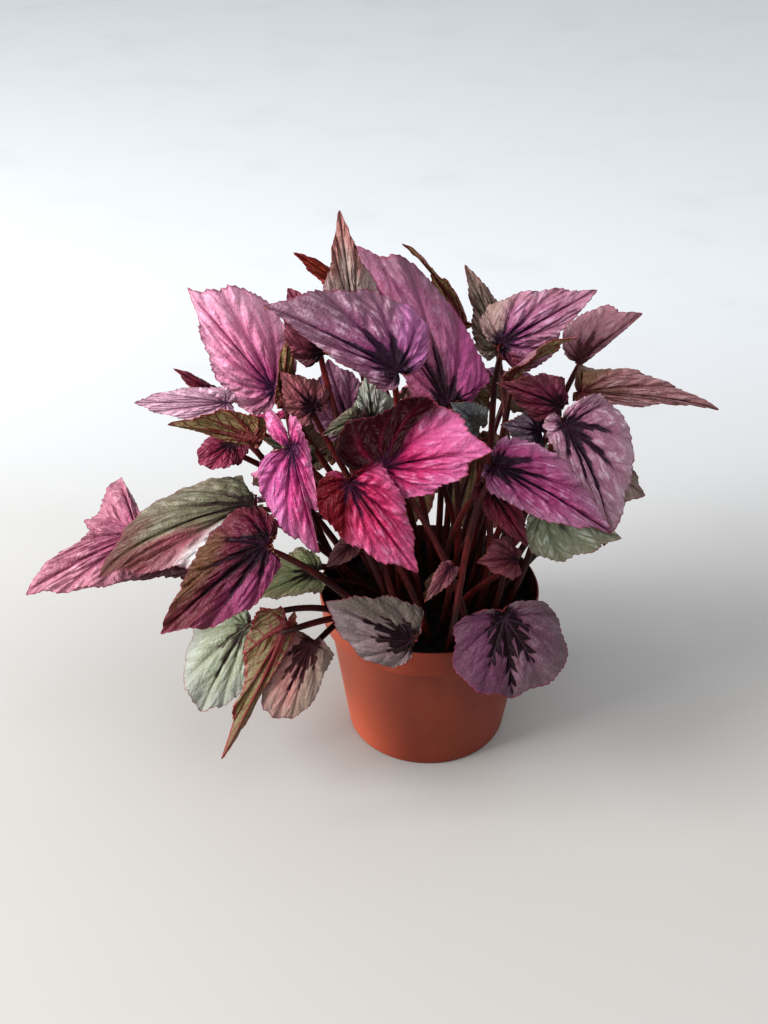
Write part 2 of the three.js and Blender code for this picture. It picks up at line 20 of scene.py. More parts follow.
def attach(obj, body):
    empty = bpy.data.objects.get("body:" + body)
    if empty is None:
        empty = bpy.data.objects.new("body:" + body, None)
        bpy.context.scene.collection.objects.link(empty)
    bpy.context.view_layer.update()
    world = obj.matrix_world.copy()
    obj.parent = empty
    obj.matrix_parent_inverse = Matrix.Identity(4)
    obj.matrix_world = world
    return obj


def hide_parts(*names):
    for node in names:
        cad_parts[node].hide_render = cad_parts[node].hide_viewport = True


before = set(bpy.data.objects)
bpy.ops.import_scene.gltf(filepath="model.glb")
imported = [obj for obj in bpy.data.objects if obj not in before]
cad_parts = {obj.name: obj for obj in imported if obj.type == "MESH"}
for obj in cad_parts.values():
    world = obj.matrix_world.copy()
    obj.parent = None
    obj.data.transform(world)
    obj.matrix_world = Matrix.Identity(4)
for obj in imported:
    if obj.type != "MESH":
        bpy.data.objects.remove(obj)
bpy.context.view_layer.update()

Triple = tuple[float, float, float]
Pair = tuple[float, float]
Array = np.ndarray

MM = 0.001
PER_METRE = 1000.0  # millimetres
LOG = logging.getLogger("begonia")


def srgb(red: float, green: float, blue: float) -> Triple:
    """A colour given by its 0 to 255 screen values, as linear light."""

    def linear(value: float) -> float:
        """One channel made linear."""
        share = value / 255
        return share / 12.92 if share <= 0.04045 else ((share + 0.055) / 1.055) ** 2.4

    return linear(red), linear(green), linear(blue)


# --- Shader building -------------------------------------------------------------------------


def math_node(operation: str, swapped: bool = False) -> Callable[..., "Value"]:
    """A method of Value that adds a Math node.

    Args:
        operation: The node's operation.
        swapped: Whether the value that it belongs to comes last.

    Returns:
        The method, which takes the other terms and returns the node's output.
    """

    def added(value: "Value", *others: Any) -> "Value":
        """The operation's outcome."""
        terms = (*others, value) if swapped else (value, *others)
        return value.shader.output("ShaderNodeMath", 0, {"operation": operation}, dict(enumerate(terms)))

    return added


class Value:
    """A node's output in a material. Arithmetic on it adds Math nodes."""

    def __init__(self, shader: "Shader", socket: bpy.types.NodeSocket) -> None:
        """Wraps a socket.

        Args:
            shader: The material that the socket belongs to.
            socket: The output socket.
        """
        self.shader = shader
        self.socket = socket

    __add__ = __radd__ = math_node("ADD")
    __sub__ = math_node("SUBTRACT")
    __rsub__ = math_node("SUBTRACT", swapped=True)
    __mul__ = __rmul__ = math_node("MULTIPLY")
    __truediv__ = math_node("DIVIDE")
    __pow__ = math_node("POWER")
    __abs__ = math_node("ABSOLUTE")
    __gt__ = math_node("GREATER_THAN")  # 1 where it is greater, else 0
    nearest = math_node("ROUND")
    most = math_node("MAXIMUM")

    def rise(self, low: "float | Value", high: "float | Value") -> "Value":
        """A smooth step.

        Args:
            low: Where it is still 0.
            high: Where it has become 1. It may be less than low, and the step then falls.

        Returns:
            The step, from 0 to 1.
        """
        settings = {"interpolation_type": "SMOOTHSTEP"}
        inputs = {"Value": self, "From Min": low, "From Max": high, "To Min": 0.0, "To Max": 1.0}
        return self.shader.output("ShaderNodeMapRange", "Result", settings, inputs)


class Shader:
    """A material that is being built."""

    def __init__(self, name: str) -> None:
        """Starts an empty material.

        Args:
            name: The material's name.
        """
        self.material = bpy.data.materials.new(name)
        self.material.use_nodes = True
        self.tree = self.material.node_tree
        self.tree.nodes.clear()

    def node(self, kind: str, settings: dict[str, Any], inputs: dict[Any, Any]) -> bpy.types.Node:
        """Adds any node.

        Args:
            kind: The node's type.
            settings: Its own settings, which are set first.
            inputs: Values or links of its sockets, by name or place.

        Returns:
            The node.
        """
        node = self.tree.nodes.new(kind)
        for key, setting in settings.items():
            setattr(node, key, setting)
        for key, given in inputs.items():
            socket = node.inputs[key]
            if isinstance(given, Value):
                self.tree.links.new(given.socket, socket)
            elif isinstance(given, tuple) and len(socket.default_value) == 4:
                socket.default_value = (*given, 1.0)
            else:
                socket.default_value = given
        return node

    def output(self, kind: str, name: Any, settings: dict[str, Any], inputs: dict[Any, Any]) -> Value:
        """Adds a node and takes one output of it.

        Args:
            kind: The node's type.
            name: The output's name or place.
            settings: Its own settings.
            inputs: Values or links of its sockets.

        Returns:
            The output.
        """
        return Value(self, self.node(kind, settings, inputs).outputs[name])

    def mix(self, below: Any, above: Any, factor: Any, blend: str = "MIX") -> Value:
        """One colour laid over another.

        Args:
            below: The colour underneath.
            above: The colour on top.
            factor: How much of the upper one shows.
            blend: The way in which they blend.

        Returns:
            The blended colour.
        """
        settings = {"data_type": "RGBA", "blend_type": blend, "clamp_factor": True}
        return self.output("ShaderNodeMix", 2, settings, {0: factor, 6: below, 7: above})

    def place(self) -> Value:
        """A point's place on the object, in metres."""
        return self.output("ShaderNodeTexCoord", "Object", {}, {})

    def axes(self, at: Value | None = None) -> tuple[Value, Value, Value]:
        """The three coordinates of a place, or of the point's own place on the object."""
        split = self.node("ShaderNodeSeparateXYZ", {}, {0: at or self.place()})
        x, y, z = (Value(self, socket) for socket in split.outputs)
        return x, y, z

    def stretched(self, x: float, y: float, z: float) -> Value:
        """A point's place on the object, drawn out along the axes whose share is small."""
        inputs = {"Vector": self.place(), "Scale": Vector((x, y, z))}
        return self.output("ShaderNodeMapping", 0, {}, inputs)

    def grain(
        self, size_mm: float, detail: float = 2.0, rough: float = 0.5, at: Value | None = None
    ) -> Value:
        """Soft noise from 0 to 1.

        Args:
            size_mm: The size of its features.
            detail: How many finer layers it has.
            rough: How strong the finer layers are.
            at: The place that it is read at, where it isn't the object's own.

        Returns:
            The noise.
        """
        inputs = {"Vector": at or self.place(), "Scale": 1 / (size_mm * MM)}
        inputs.update(Detail=detail, Roughness=rough)
        return self.output("ShaderNodeTexNoise", "Fac", {"normalize": True}, inputs)

    def cells(self, size_mm: float, feature: str = "DISTANCE_TO_EDGE") -> Value:
        """Rounded cells, as the distance from their borders.

        Args:
            size_mm: The size of a cell.
            feature: What is measured in a cell.

        Returns:
            The distance, as a share of a cell.
        """
        inputs = {"Vector": self.place(), "Scale": 1 / (size_mm * MM)}
        return self.output("ShaderNodeTexVoronoi", "Distance", {"feature": feature}, inputs)

    def bump(self, height: Value, depth_mm: float, strength: float = 1.0) -> Value:
        """Fine relief.

        Args:
            height: The relief's height, from 0 to 1.
            depth_mm: How deep the relief is.
            strength: How much of it shows.

        Returns:
            The normal that it gives.
        """
        inputs = {"Height": height, "Distance": depth_mm * MM, "Strength": strength}
        return self.output("ShaderNodeBump", "Normal", {}, inputs)

    def finish(
        self, colour: Any, roughness: Any, normal: Value | None = None, specular: float = 0.5
    ) -> bpy.types.Material:
        """Ends the material.

        Args:
            colour: The base colour.
            roughness: The roughness.
            normal: The normal, where it has relief.
            specular: The strength of its reflections.

        Returns:
            The material.
        """
        inputs = {"Base Color": colour, "Roughness": roughness, "Specular IOR Level": specular}
        if normal is not None:
            inputs["Normal"] = normal
        surface = self.output("ShaderNodeBsdfPrincipled", "BSDF", {}, inputs)
        self.node("ShaderNodeOutputMaterial", {}, {"Surface": surface})
        return self.material


# --- Leaf veins: shared by the blades' relief and their finishes --------------------------------

VEIN_SPREAD = 0.0716  # main veins leave the stalk where this times angle^0.8 is a whole number
VEIN_POWER = 0.8
VEIN_BEND = 0.22  # how far the main veins turn towards the tip on their way out, as a share
SIDE_VEINS = 5.0  # side veins between the stalk and the margin
SIDE_SLANT = 0.8  # how far out a side vein has run on where it meets its neighbours
BRANCH_SHIFT = 0.5  # side veins leave a main vein by turns on its two sides
BRANCH_STEP = 0.37  # how far they are shifted from one main vein to the next


@dataclass
class Venation:
    """The veins of a blade as values of a shader, from the blade's own map and its reach."""

    shader: Shader

    def __post_init__(self) -> None:
        """Reads the blade's map and works out the distances to its veins."""
        shader = self.shader
        uv = shader.output("ShaderNodeUVMap", 0, {"uv_map": "blade"}, {})
        round_stalk, self.share, _ = shader.axes(uv)
        self.turn = (round_stalk - 0.5) * 360.0
        self.reach = shader.output("ShaderNodeAttribute", "Fac", {"attribute_name": "reach_mm"}, {})
        self.drift = shader.grain(20.0, 2.0)
        wander = shader.grain(9.0, 2.0) - 0.5
        angle = abs(self.turn) * (1.0 + self.share * VEIN_BEND)
        spread = VEIN_SPREAD * (angle + wander * 2.5).most(0.0) ** VEIN_POWER
        self.vein = spread.nearest()
        offset = spread - self.vein
        self.off = abs(offset)
        span = angle * self.reach * (math.pi / 180 / VEIN_POWER) / spread.most(0.02)
        self.main = self.off * span + wander * 0.8
        branch = (offset > 0.0) * BRANCH_SHIFT + self.vein * BRANCH_STEP
        slanted = self.share * (1.0 - self.off * SIDE_SLANT)
        self.phase = slanted * SIDE_VEINS + branch + wander * 0.5
        self.ripple = abs(self.phase - self.phase.nearest())
        self.between = self.ripple * self.reach / (self.share.most(0.08) * SIDE_VEINS)

    def pleats(self, across: float, along: float, apart: float = 0.0) -> Value:
        """Noise from 0 to 1 that is drawn out along the side veins.

        Args:
            across: How often it changes from one side vein to the next.
            along: How often it changes from a main vein to the seam with the next one.
            apart: Sets it apart from the blade's other noise.

        Returns:
            The noise, even at the seams.
        """
        inputs = {0: self.off * along + self.vein * 5.3, 1: self.phase * across, 2: self.drift * 3.0 + apart}
        place = self.shader.output("ShaderNodeCombineXYZ", 0, {}, inputs)
        inputs = {"Vector": place, "Scale": 1.0, "Detail": 2.5, "Roughness": 0.55}
        noise = self.shader.output("ShaderNodeTexNoise", "Fac", {"normalize": True}, inputs)
        return (noise - 0.5) * self.off.rise(0.5, 0.4) + 0.5

    def sector(self, angle: float, spread: float, start: float) -> Value:
        """A part of the blade.

        Args:
            angle: Its middle, in degrees from the tip, negative to the left.
            spread: Half of its width, in degrees.
            start: Share of the way to the margin at which it begins.

        Returns:
            A mask with soft, streaky edges.
        """
        away = abs(self.turn - angle) + (self.drift - 0.5) * 30.0
        return away.rise(spread + 8.0, spread - 14.0) * self.share.rise(start - 0.05, start + 0.25)

    def main_line(self, width: float) -> Value:
        """The main veins, thinning towards the margin.

        Args:
            width: Half of their width at the stalk, in mm.

        Returns:
            A mask.
        """
        half = (1.15 - self.share) * width
        return self.main.rise(half + 0.35, half * 0.6)

    def side_line(self, width: float) -> Value:
        """The side veins, thinning away from their main vein.

        Args:
            width: Half of their width, in mm.

        Returns:
            A mask.
        """
        half = (1.0 - self.off * 1.3) * width
        return self.between.rise(half + 0.3, half * 0.5) * self.share.rise(0.03, 0.15)


@dataclass(frozen=True)
class Patch:
    """A part of a blade with a tone of its own."""

    angle: float  # degrees from the tip, negative to the left
    spread: float  # half of its width, in degrees
    colour: Triple
    amount: float = 0.85
    start: float = 0.0  # share of the way to the margin


HOLLOW_SHADE = (0.5, 0.42, 0.46)  # painted shade: what the hollows between the veins are multiplied by
PAINTED_GLINT = srgb(255, 244, 248)  # painted glints on the pale tips of the finest hairs on the upper face
DOWN = srgb(230, 200, 190)  # the pale tips of the finest hairs on the underside
COLLAR_SLOPE = 0.088  # how far the pot's collar widens with its height


@dataclass(frozen=True)
class BladeFinish:
    """The upper face of a blade: a dark star on its veins, and tones from the stalk outwards."""

    name: str
    star: Triple
    heart: Triple
    body: Triple
    fringe: Triple
    silver: Triple
    rim: Triple
    vein: Triple
    star_reach: float = 0.62  # share of the way to the margin
    star_width: float = 3.0  # half of an arm's width at the stalk, in mm
    star_core: float = 6.0  # radius of its middle, in mm
    feather: float = 1.2  # how far its edge runs out along the side veins, in mm
    silvering: float = 0.45  # strength of the silver between its veins
    streaking: float = 0.3  # strength of the painted shade in its hollows
    veining: float = 0.3  # strength of its veins
    star_fall: float = 0.13  # how much shorter each arm is than the one before it
    patches: tuple[Patch, ...] = ()
    crinkle: float = 0.8  # strength of the pleats between its veins
    gloss: float = 0.42  # its roughness
    sheen: float = 0.22  # strength of its reflections

    def build(self) -> bpy.types.Material:
        """Builds the material.

        Returns:
            The material.
        """
        shader = Shader(self.name)
        veins = Venation(shader)
        share = veins.share
        fine = shader.grain(1.6, 3.0, 0.6)
        streak = veins.pleats(1.1, 4.5)
        shine = veins.pleats(2.0, 9.0, 9.0)
        pads = veins.ripple.rise(0.0, 0.4) * veins.off.rise(0.0, 0.18)
        blotch = shader.grain(5.0, 2.5)

        outward = share + (veins.drift - 0.5) * 0.3 + (streak - 0.5) * 0.35
        colour = shader.mix(self.heart, self.body, outward.rise(0.1, 0.5))
        colour = shader.mix(colour, self.fringe, outward.rise(0.55, 1.0))
        islands = veins.off.rise(0.05, 0.28) * veins.ripple.rise(0.0, 0.25)
        silver = islands * (shine * 0.5 + blotch * 0.5).rise(0.47, 0.62) * share.rise(0.2, 0.6)
        colour = shader.mix(colour, self.silver, silver * self.silvering)
        for patch in self.patches:
            part = veins.sector(patch.angle, patch.spread, patch.start)
            colour = shader.mix(colour, patch.colour, part * patch.amount)
        # Painted shade: the hollows of the relief, along the side veins and where its noise is low, are
        # darkened.
        dull = shader.mix(colour, HOLLOW_SHADE, 1.0, "MULTIPLY")
        hollow_shade_mask = (streak * 0.45 + blotch * 0.55).rise(0.52, 0.4)
        colour = shader.mix(colour, dull, hollow_shade_mask.most(pads.rise(0.5, 0.0) * 0.6) * self.streaking)
        colour = shader.mix(colour, self.heart, veins.off.rise(0.2, 0.02) * share.rise(0.95, 0.3) * 0.32)

        reach = (self.star_reach * (1.06 - veins.vein * self.star_fall)).most(0.05)
        arm = (1.0 - share / reach) * self.star_width
        arm = arm + (0.3 - veins.ripple) * self.feather * 2.0 * arm.rise(0.0, 1.2)
        edge = (fine - 0.5) * 1.4 + (streak - 0.5) * 3.0 + (veins.drift - 0.5) * 3.0
        star = (veins.main + edge).rise(arm + 0.5, arm - 0.9) * arm.rise(0.0, 0.6)
        core = (veins.reach + edge * 2.0).rise(self.star_core + 1.0, self.star_core - 3.0)
        colour = shader.mix(colour, self.star, star.most(core) * 0.95)

        net = shader.cells(3.0).rise(0.08, 0.0) * fine.rise(0.35, 0.6)
        colour = shader.mix(colour, self.vein, net * self.veining * 0.22)
        side = veins.side_line(0.22) * veins.drift.rise(0.3, 0.6)
        colour = shader.mix(colour, self.vein, side * self.veining * 0.8)
        main = veins.main_line(0.4) * share.rise(1.1, 0.3)
        colour = shader.mix(colour, self.vein, main * self.veining)
        colour = shader.mix(colour, self.rim, share.rise(0.965, 0.995) * 0.6)
        # Painted highlight: fine glints on the hair tips, as strong as the finish's sheen.
        colour = shader.mix(colour, PAINTED_GLINT, fine.rise(0.62, 0.82) * self.sheen * 0.27)

        puff = shader.cells(2.2).rise(0.0, 0.35)
        pleat = veins.main.rise(0.0, 2.2)
        relief = (shine * 0.7 + streak * 0.8 + blotch * 1.3 + pads * 0.6 + pleat * 0.4) * self.crinkle
        relief = relief + puff * 0.14 + fine * 0.16
        roughness = self.gloss + (fine - 0.5) * 0.2 + (0.5 - shine) * 0.2 + star * 0.15
        return shader.finish(colour, roughness, shader.bump(relief, 1.2, 0.85), self.sheen)


@dataclass(frozen=True)
class UndersideFinish:
    """The underside of a blade: dull green-brown with a raised net of red veins."""

    name: str
    body: Triple
    middle: Triple
    vein: Triple
    rim: Triple

    def build(self) -> bpy.types.Material:
        """Builds the material.

        Returns:
            The material.
        """
        shader = Shader(self.name)
        veins = Venation(shader)
        fine = shader.grain(1.6, 3.0, 0.6)
        drift = shader.grain(14.0, 3.0)
        colour = shader.mix(self.middle, self.body, (veins.share + (drift - 0.5) * 0.5).rise(0.02, 0.5))
        net = shader.cells(4.2).rise(0.1, 0.0)
        main = veins.main_line(1.15)
        side = veins.side_line(0.5)
        colour = shader.mix(colour, self.vein, net * 0.5)
        colour = shader.mix(colour, self.vein, side * 0.85)
        colour = shader.mix(colour, self.vein, main * 0.95)
        colour = shader.mix(colour, self.rim, veins.share.rise(0.9, 0.99) * 0.8)
        colour = shader.mix(colour, DOWN, fine.rise(0.62, 0.85) * 0.12)
        relief = main * 0.8 + side * 0.6 + net * 0.35 + fine * 0.25
        roughness = 0.5 + (fine - 0.5) * 0.2
        return shader.finish(colour, roughness, shader.bump(relief, 0.45, 0.9), 0.35)


@dataclass(frozen=True)
class StalkFinish:
    """A fleshy stalk: dark red, streaked along its length, darker near the soil."""

    name: str
    dark: Triple
    light: Triple
    speck: Triple = srgb(205, 140, 120)
    foot: Triple = srgb(26, 5, 6)  # in the shade near the soil

    def build(self) -> bpy.types.Material:
        """Builds the material.

        Returns:
            The material.
        """
        shader = Shader(self.name)
        streak = shader.grain(0.9, 3.0, 0.6, shader.stretched(1.0, 1.0, 0.12))
        drift = shader.grain(22.0, 2.0)
        fine = shader.grain(0.6, 2.0)
        colour = shader.mix(self.dark, self.light, (streak * 0.6 + drift * 0.7).rise(0.45, 0.95))
        colour = shader.mix(colour, self.speck, fine.rise(0.66, 0.8) * 0.18)
        low = (shader.axes()[2] * PER_METRE + drift * 30.0).rise(165.0, 95.0)
        colour = shader.mix(colour, self.foot, low * 0.75)
        roughness = 0.42 + (streak - 0.5) * 0.2
        relief = shader.bump(streak * 0.7 + fine * 0.5, 0.3, 0.7)
        return shader.finish(colour, roughness, relief, 0.25)


@dataclass(frozen=True)
class PotFinish:
    """Moulded plastic the colour of fired clay, a little scuffed and dusty low down. Light on its window side
    and shade inside above the soil are painted.
    """

    name: str = "moulded_pot"
    body: Triple = srgb(124, 51, 30)
    shade: Triple = srgb(108, 41, 24)
    dust: Triple = srgb(158, 100, 76)
    painted_window_light: Triple = srgb(196, 94, 64)  # painted light on the side towards the window
    inside: Triple = srgb(52, 20, 13)  # painted shade on the inner wall above the soil
    speck: Triple = srgb(70, 38, 26)
    edge: Triple = srgb(96, 44, 32)  # where it stands

    def build(self) -> bpy.types.Material:
        """Builds the material.

        Returns:
            The material.
        """
        shader = Shader(self.name)
        across, deep, high = shader.axes()
        height = high * PER_METRE
        cloud = shader.grain(30.0, 3.0)
        fine = shader.grain(0.7, 2.0, 0.6)
        lines = shader.grain(1.6, 2.0, 0.5, shader.stretched(0.12, 0.12, 1.4))
        speck = shader.cells(3.0, "F1").rise(0.2, 0.1) * shader.grain(9.0, 2.0).rise(0.56, 0.68)
        scuff = shader.grain(4.0, 4.0, 0.7).rise(0.6, 0.78) * height.rise(40.0, 0.0)
        colour = shader.mix(self.shade, self.body, cloud.rise(0.25, 0.7))
        colour = shader.mix(colour, self.dust, (lines.rise(0.55, 0.85) * 0.16).most(scuff * 0.3))
        colour = shader.mix(colour, self.speck, speck * 0.55)
        colour = shader.mix(colour, self.edge, height.rise(1.6, 0.0) * 0.6)
        # Painted light: the side towards the window is lightened.
        side = across * PER_METRE + (cloud - 0.5) * 14.0
        colour = shader.mix(colour, self.painted_window_light, side.rise(-8.0, -46.0) * 0.85)
        # Painted shade: the inner wall above the soil is darkened.
        radius = (across**2.0 + deep**2.0) ** 0.5 * PER_METRE
        inner = (radius - height * COLLAR_SLOPE).rise(51.6, 51.0) * height.rise(70.0, 74.0)
        colour = shader.mix(colour, self.inside, inner)
        relief = lines * 0.5 + fine * 0.4 + speck * 0.6
        roughness = 0.46 + (lines - 0.5) * 0.16 + scuff * 0.15
        return shader.finish(colour, roughness, shader.bump(relief, 0.12, 0.7), 0.3)


@dataclass(frozen=True)
class SoilFinish:
    """Damp dark compost with a little paler fibre and grit."""

    name: str = "compost"
    dark: Triple = srgb(9, 6, 5)
    light: Triple = srgb(40, 30, 22)
    grit: Triple = srgb(110, 100, 86)

    def build(self) -> bpy.types.Material:
        """Builds the material.

        Returns:
            The material.
        """
        shader = Shader(self.name)
        lumps = shader.grain(5.0, 5.0, 0.7)
        crumbs = shader.cells(2.2)
        pale = shader.cells(3.1, "F1").rise(0.16, 0.08) * shader.grain(7.0, 2.0).rise(0.58, 0.66)
        colour = shader.mix(self.dark, self.light, (lumps * 0.8 + crumbs * 0.5).rise(0.42, 0.95))
        colour = shader.mix(colour, self.grit, pale * 0.7)
        relief = shader.bump(lumps * 0.7 + crumbs * 0.8, 1.2, 1.0)
        return shader.finish(colour, 0.86 - lumps * 0.12, relief, 0.1)


@dataclass(frozen=True)
class CrownFinish:
    """The scarred brown crown that the stalks grow round."""

    name: str = "crown"
    dark: Triple = srgb(58, 36, 26)
    light: Triple = srgb(132, 88, 62)

    def build(self) -> bpy.types.Material:
        """Builds the material.

        Returns:
            The material.
        """
        shader = Shader(self.name)
        bark = shader.grain(2.4, 4.0, 0.65)
        scars = shader.cells(4.5)
        colour = shader.mix(self.dark, self.light, (bark * 0.9 + scars * 0.4).rise(0.35, 0.95))
        return shader.finish(colour, 0.75, shader.bump(bark + scars * 0.8, 0.8, 0.9))


@dataclass(frozen=True)
class FloorFinish:
    """A plain pale floor."""

    name: str = "pale_floor"
    near: Triple = srgb(157, 154, 151)
    far: Triple = srgb(190, 193, 196)
    stain: Triple = srgb(150, 144, 135)

    def build(self) -> bpy.types.Material:
        """Builds the material.

        Returns:
            The material.
        """
        shader = Shader(self.name)
        away = shader.axes()[1].rise(-0.1, 0.7)
        cloud = shader.grain(120.0, 3.0)
        colour = shader.mix(self.near, self.far, away)
        colour = shader.mix(colour, self.stain, cloud.rise(0.5, 0.8) * 0.12)
        return shader.finish(colour, 0.6)


# --- Tones of the leaves ------------------------------------------------------------------------


class Tone(Enum):
    """The record's material slots for the leaves."""

    MAGENTA = "leaf_magenta"
    CRIMSON = "leaf_crimson"
    PINK = "leaf_pink"
    PURPLE = "leaf_purple"
    PLUM = "leaf_plum"
    LAVENDER = "leaf_lavender"
    ROSE = "leaf_rose"
    SILVER = "leaf_silver"
    OLIVE = "leaf_olive"
    KHAKI = "leaf_khaki"
    RUST = "leaf_rust"
    UNDERSIDE = "leaf_underside"


COLOURS = ("star", "heart", "body", "fringe", "silver", "rim", "vein")


def linear_fields(given: dict[str, Any]) -> dict[str, Any]:
    """A finish's fields with their colours made linear.

    Args:
        given: The fields, with colours as screen values.

    Returns:
        The same fields.
    """
    made = {key: srgb(*each) if key in COLOURS else each for key, each in given.items()}
    if "patches" in made:
        made["patches"] = tuple(replace(each, colour=srgb(*each.colour)) for each in made["patches"])
    return made


def blade_finish(
    name: str, star: Triple, heart: Triple, body: Triple, fringe: Triple, **more: Any
) -> BladeFinish:
    """An upper face with the plant's usual silver, rim and veins.

    Args:
        name: The finish's name.
        star: Colour of the dark star, as screen values.
        heart: Colour next to the star.
        body: Colour half way out.
        fringe: Colour near the margin.
        more: Other fields of the finish, with colours as screen values.

    Returns:
        The finish.
    """
    fields = {"silver": (182, 152, 178), "rim": (104, 44, 60), "vein": (72, 22, 56), **more}
    fields.update(star=star, heart=heart, body=body, fringe=fringe)
    return BladeFinish(name, **linear_fields(fields))


TONE_FINISHES: dict[Tone, BladeFinish] = {
    Tone.MAGENTA: blade_finish(
        "magenta", (44, 10, 34), (116, 18, 62), (146, 34, 82), (156, 66, 108), star_width=1.6,
        star_core=4.0, veining=0.35,
    ),
    Tone.CRIMSON: blade_finish(
        "crimson", (30, 8, 16), (84, 14, 30), (112, 28, 50), (104, 44, 56), silver=(142, 84, 104),
        silvering=0.3,
    ),
    Tone.PINK: blade_finish(
        "pink", (54, 22, 52), (146, 46, 100), (176, 80, 128), (172, 108, 136), star_width=2.0,
    ),
    Tone.PURPLE: blade_finish(
        "purple", (26, 11, 28), (110, 30, 88), (122, 66, 108), (118, 84, 110), star_core=7.0,
    ),
    Tone.PLUM: blade_finish(
        "plum", (30, 12, 30), (70, 24, 64), (88, 40, 82), (98, 54, 80), silver=(134, 96, 130),
        silvering=0.3,
    ),
    Tone.LAVENDER: blade_finish(
        "lavender", (62, 38, 44), (118, 84, 114), (128, 112, 126), (132, 122, 128), silver=(166, 158, 168),
        vein=(92, 70, 84), veining=0.2,
    ),
    Tone.ROSE: blade_finish(
        "rose", (78, 40, 42), (116, 78, 82), (132, 98, 100), (128, 108, 106), silver=(160, 140, 142),
        vein=(92, 56, 60), veining=0.25,
    ),
    Tone.SILVER: blade_finish(
        "silver", (52, 46, 46), (108, 118, 96), (136, 144, 124), (130, 134, 122), silver=(176, 182, 172),
        rim=(112, 76, 78), vein=(84, 88, 72), silvering=0.6, veining=0.35,
    ),
    Tone.OLIVE: blade_finish(
        "olive", (48, 34, 32), (84, 80, 62), (100, 100, 78), (106, 96, 84), silver=(140, 140, 124),
        vein=(72, 48, 44),
    ),
    Tone.KHAKI: blade_finish(
        "khaki", (70, 48, 42), (108, 96, 84), (124, 110, 100), (128, 104, 98), silver=(158, 146, 138),
        vein=(88, 62, 56),
    ),
    Tone.RUST: blade_finish(
        "rust", (84, 26, 20), (132, 46, 34), (150, 66, 48), (124, 40, 34), silver=(172, 112, 92),
        silvering=0.3,
    ),
    Tone.UNDERSIDE: blade_finish(
        "shaded", (36, 16, 26), (84, 30, 54), (114, 62, 84), (132, 96, 100), silver=(152, 124, 134),
    ),
}


def retone(tone: Tone, name: str, **changes: Any) -> BladeFinish:
    """A tone's finish with some of its fields changed.

    Args:
        tone: The tone to start from.
        name: The new finish's name.
        changes: The fields that differ, with colours as screen values.

    Returns:
        The new finish.
    """
    return replace(TONE_FINISHES[tone], name=name, **linear_fields(changes))


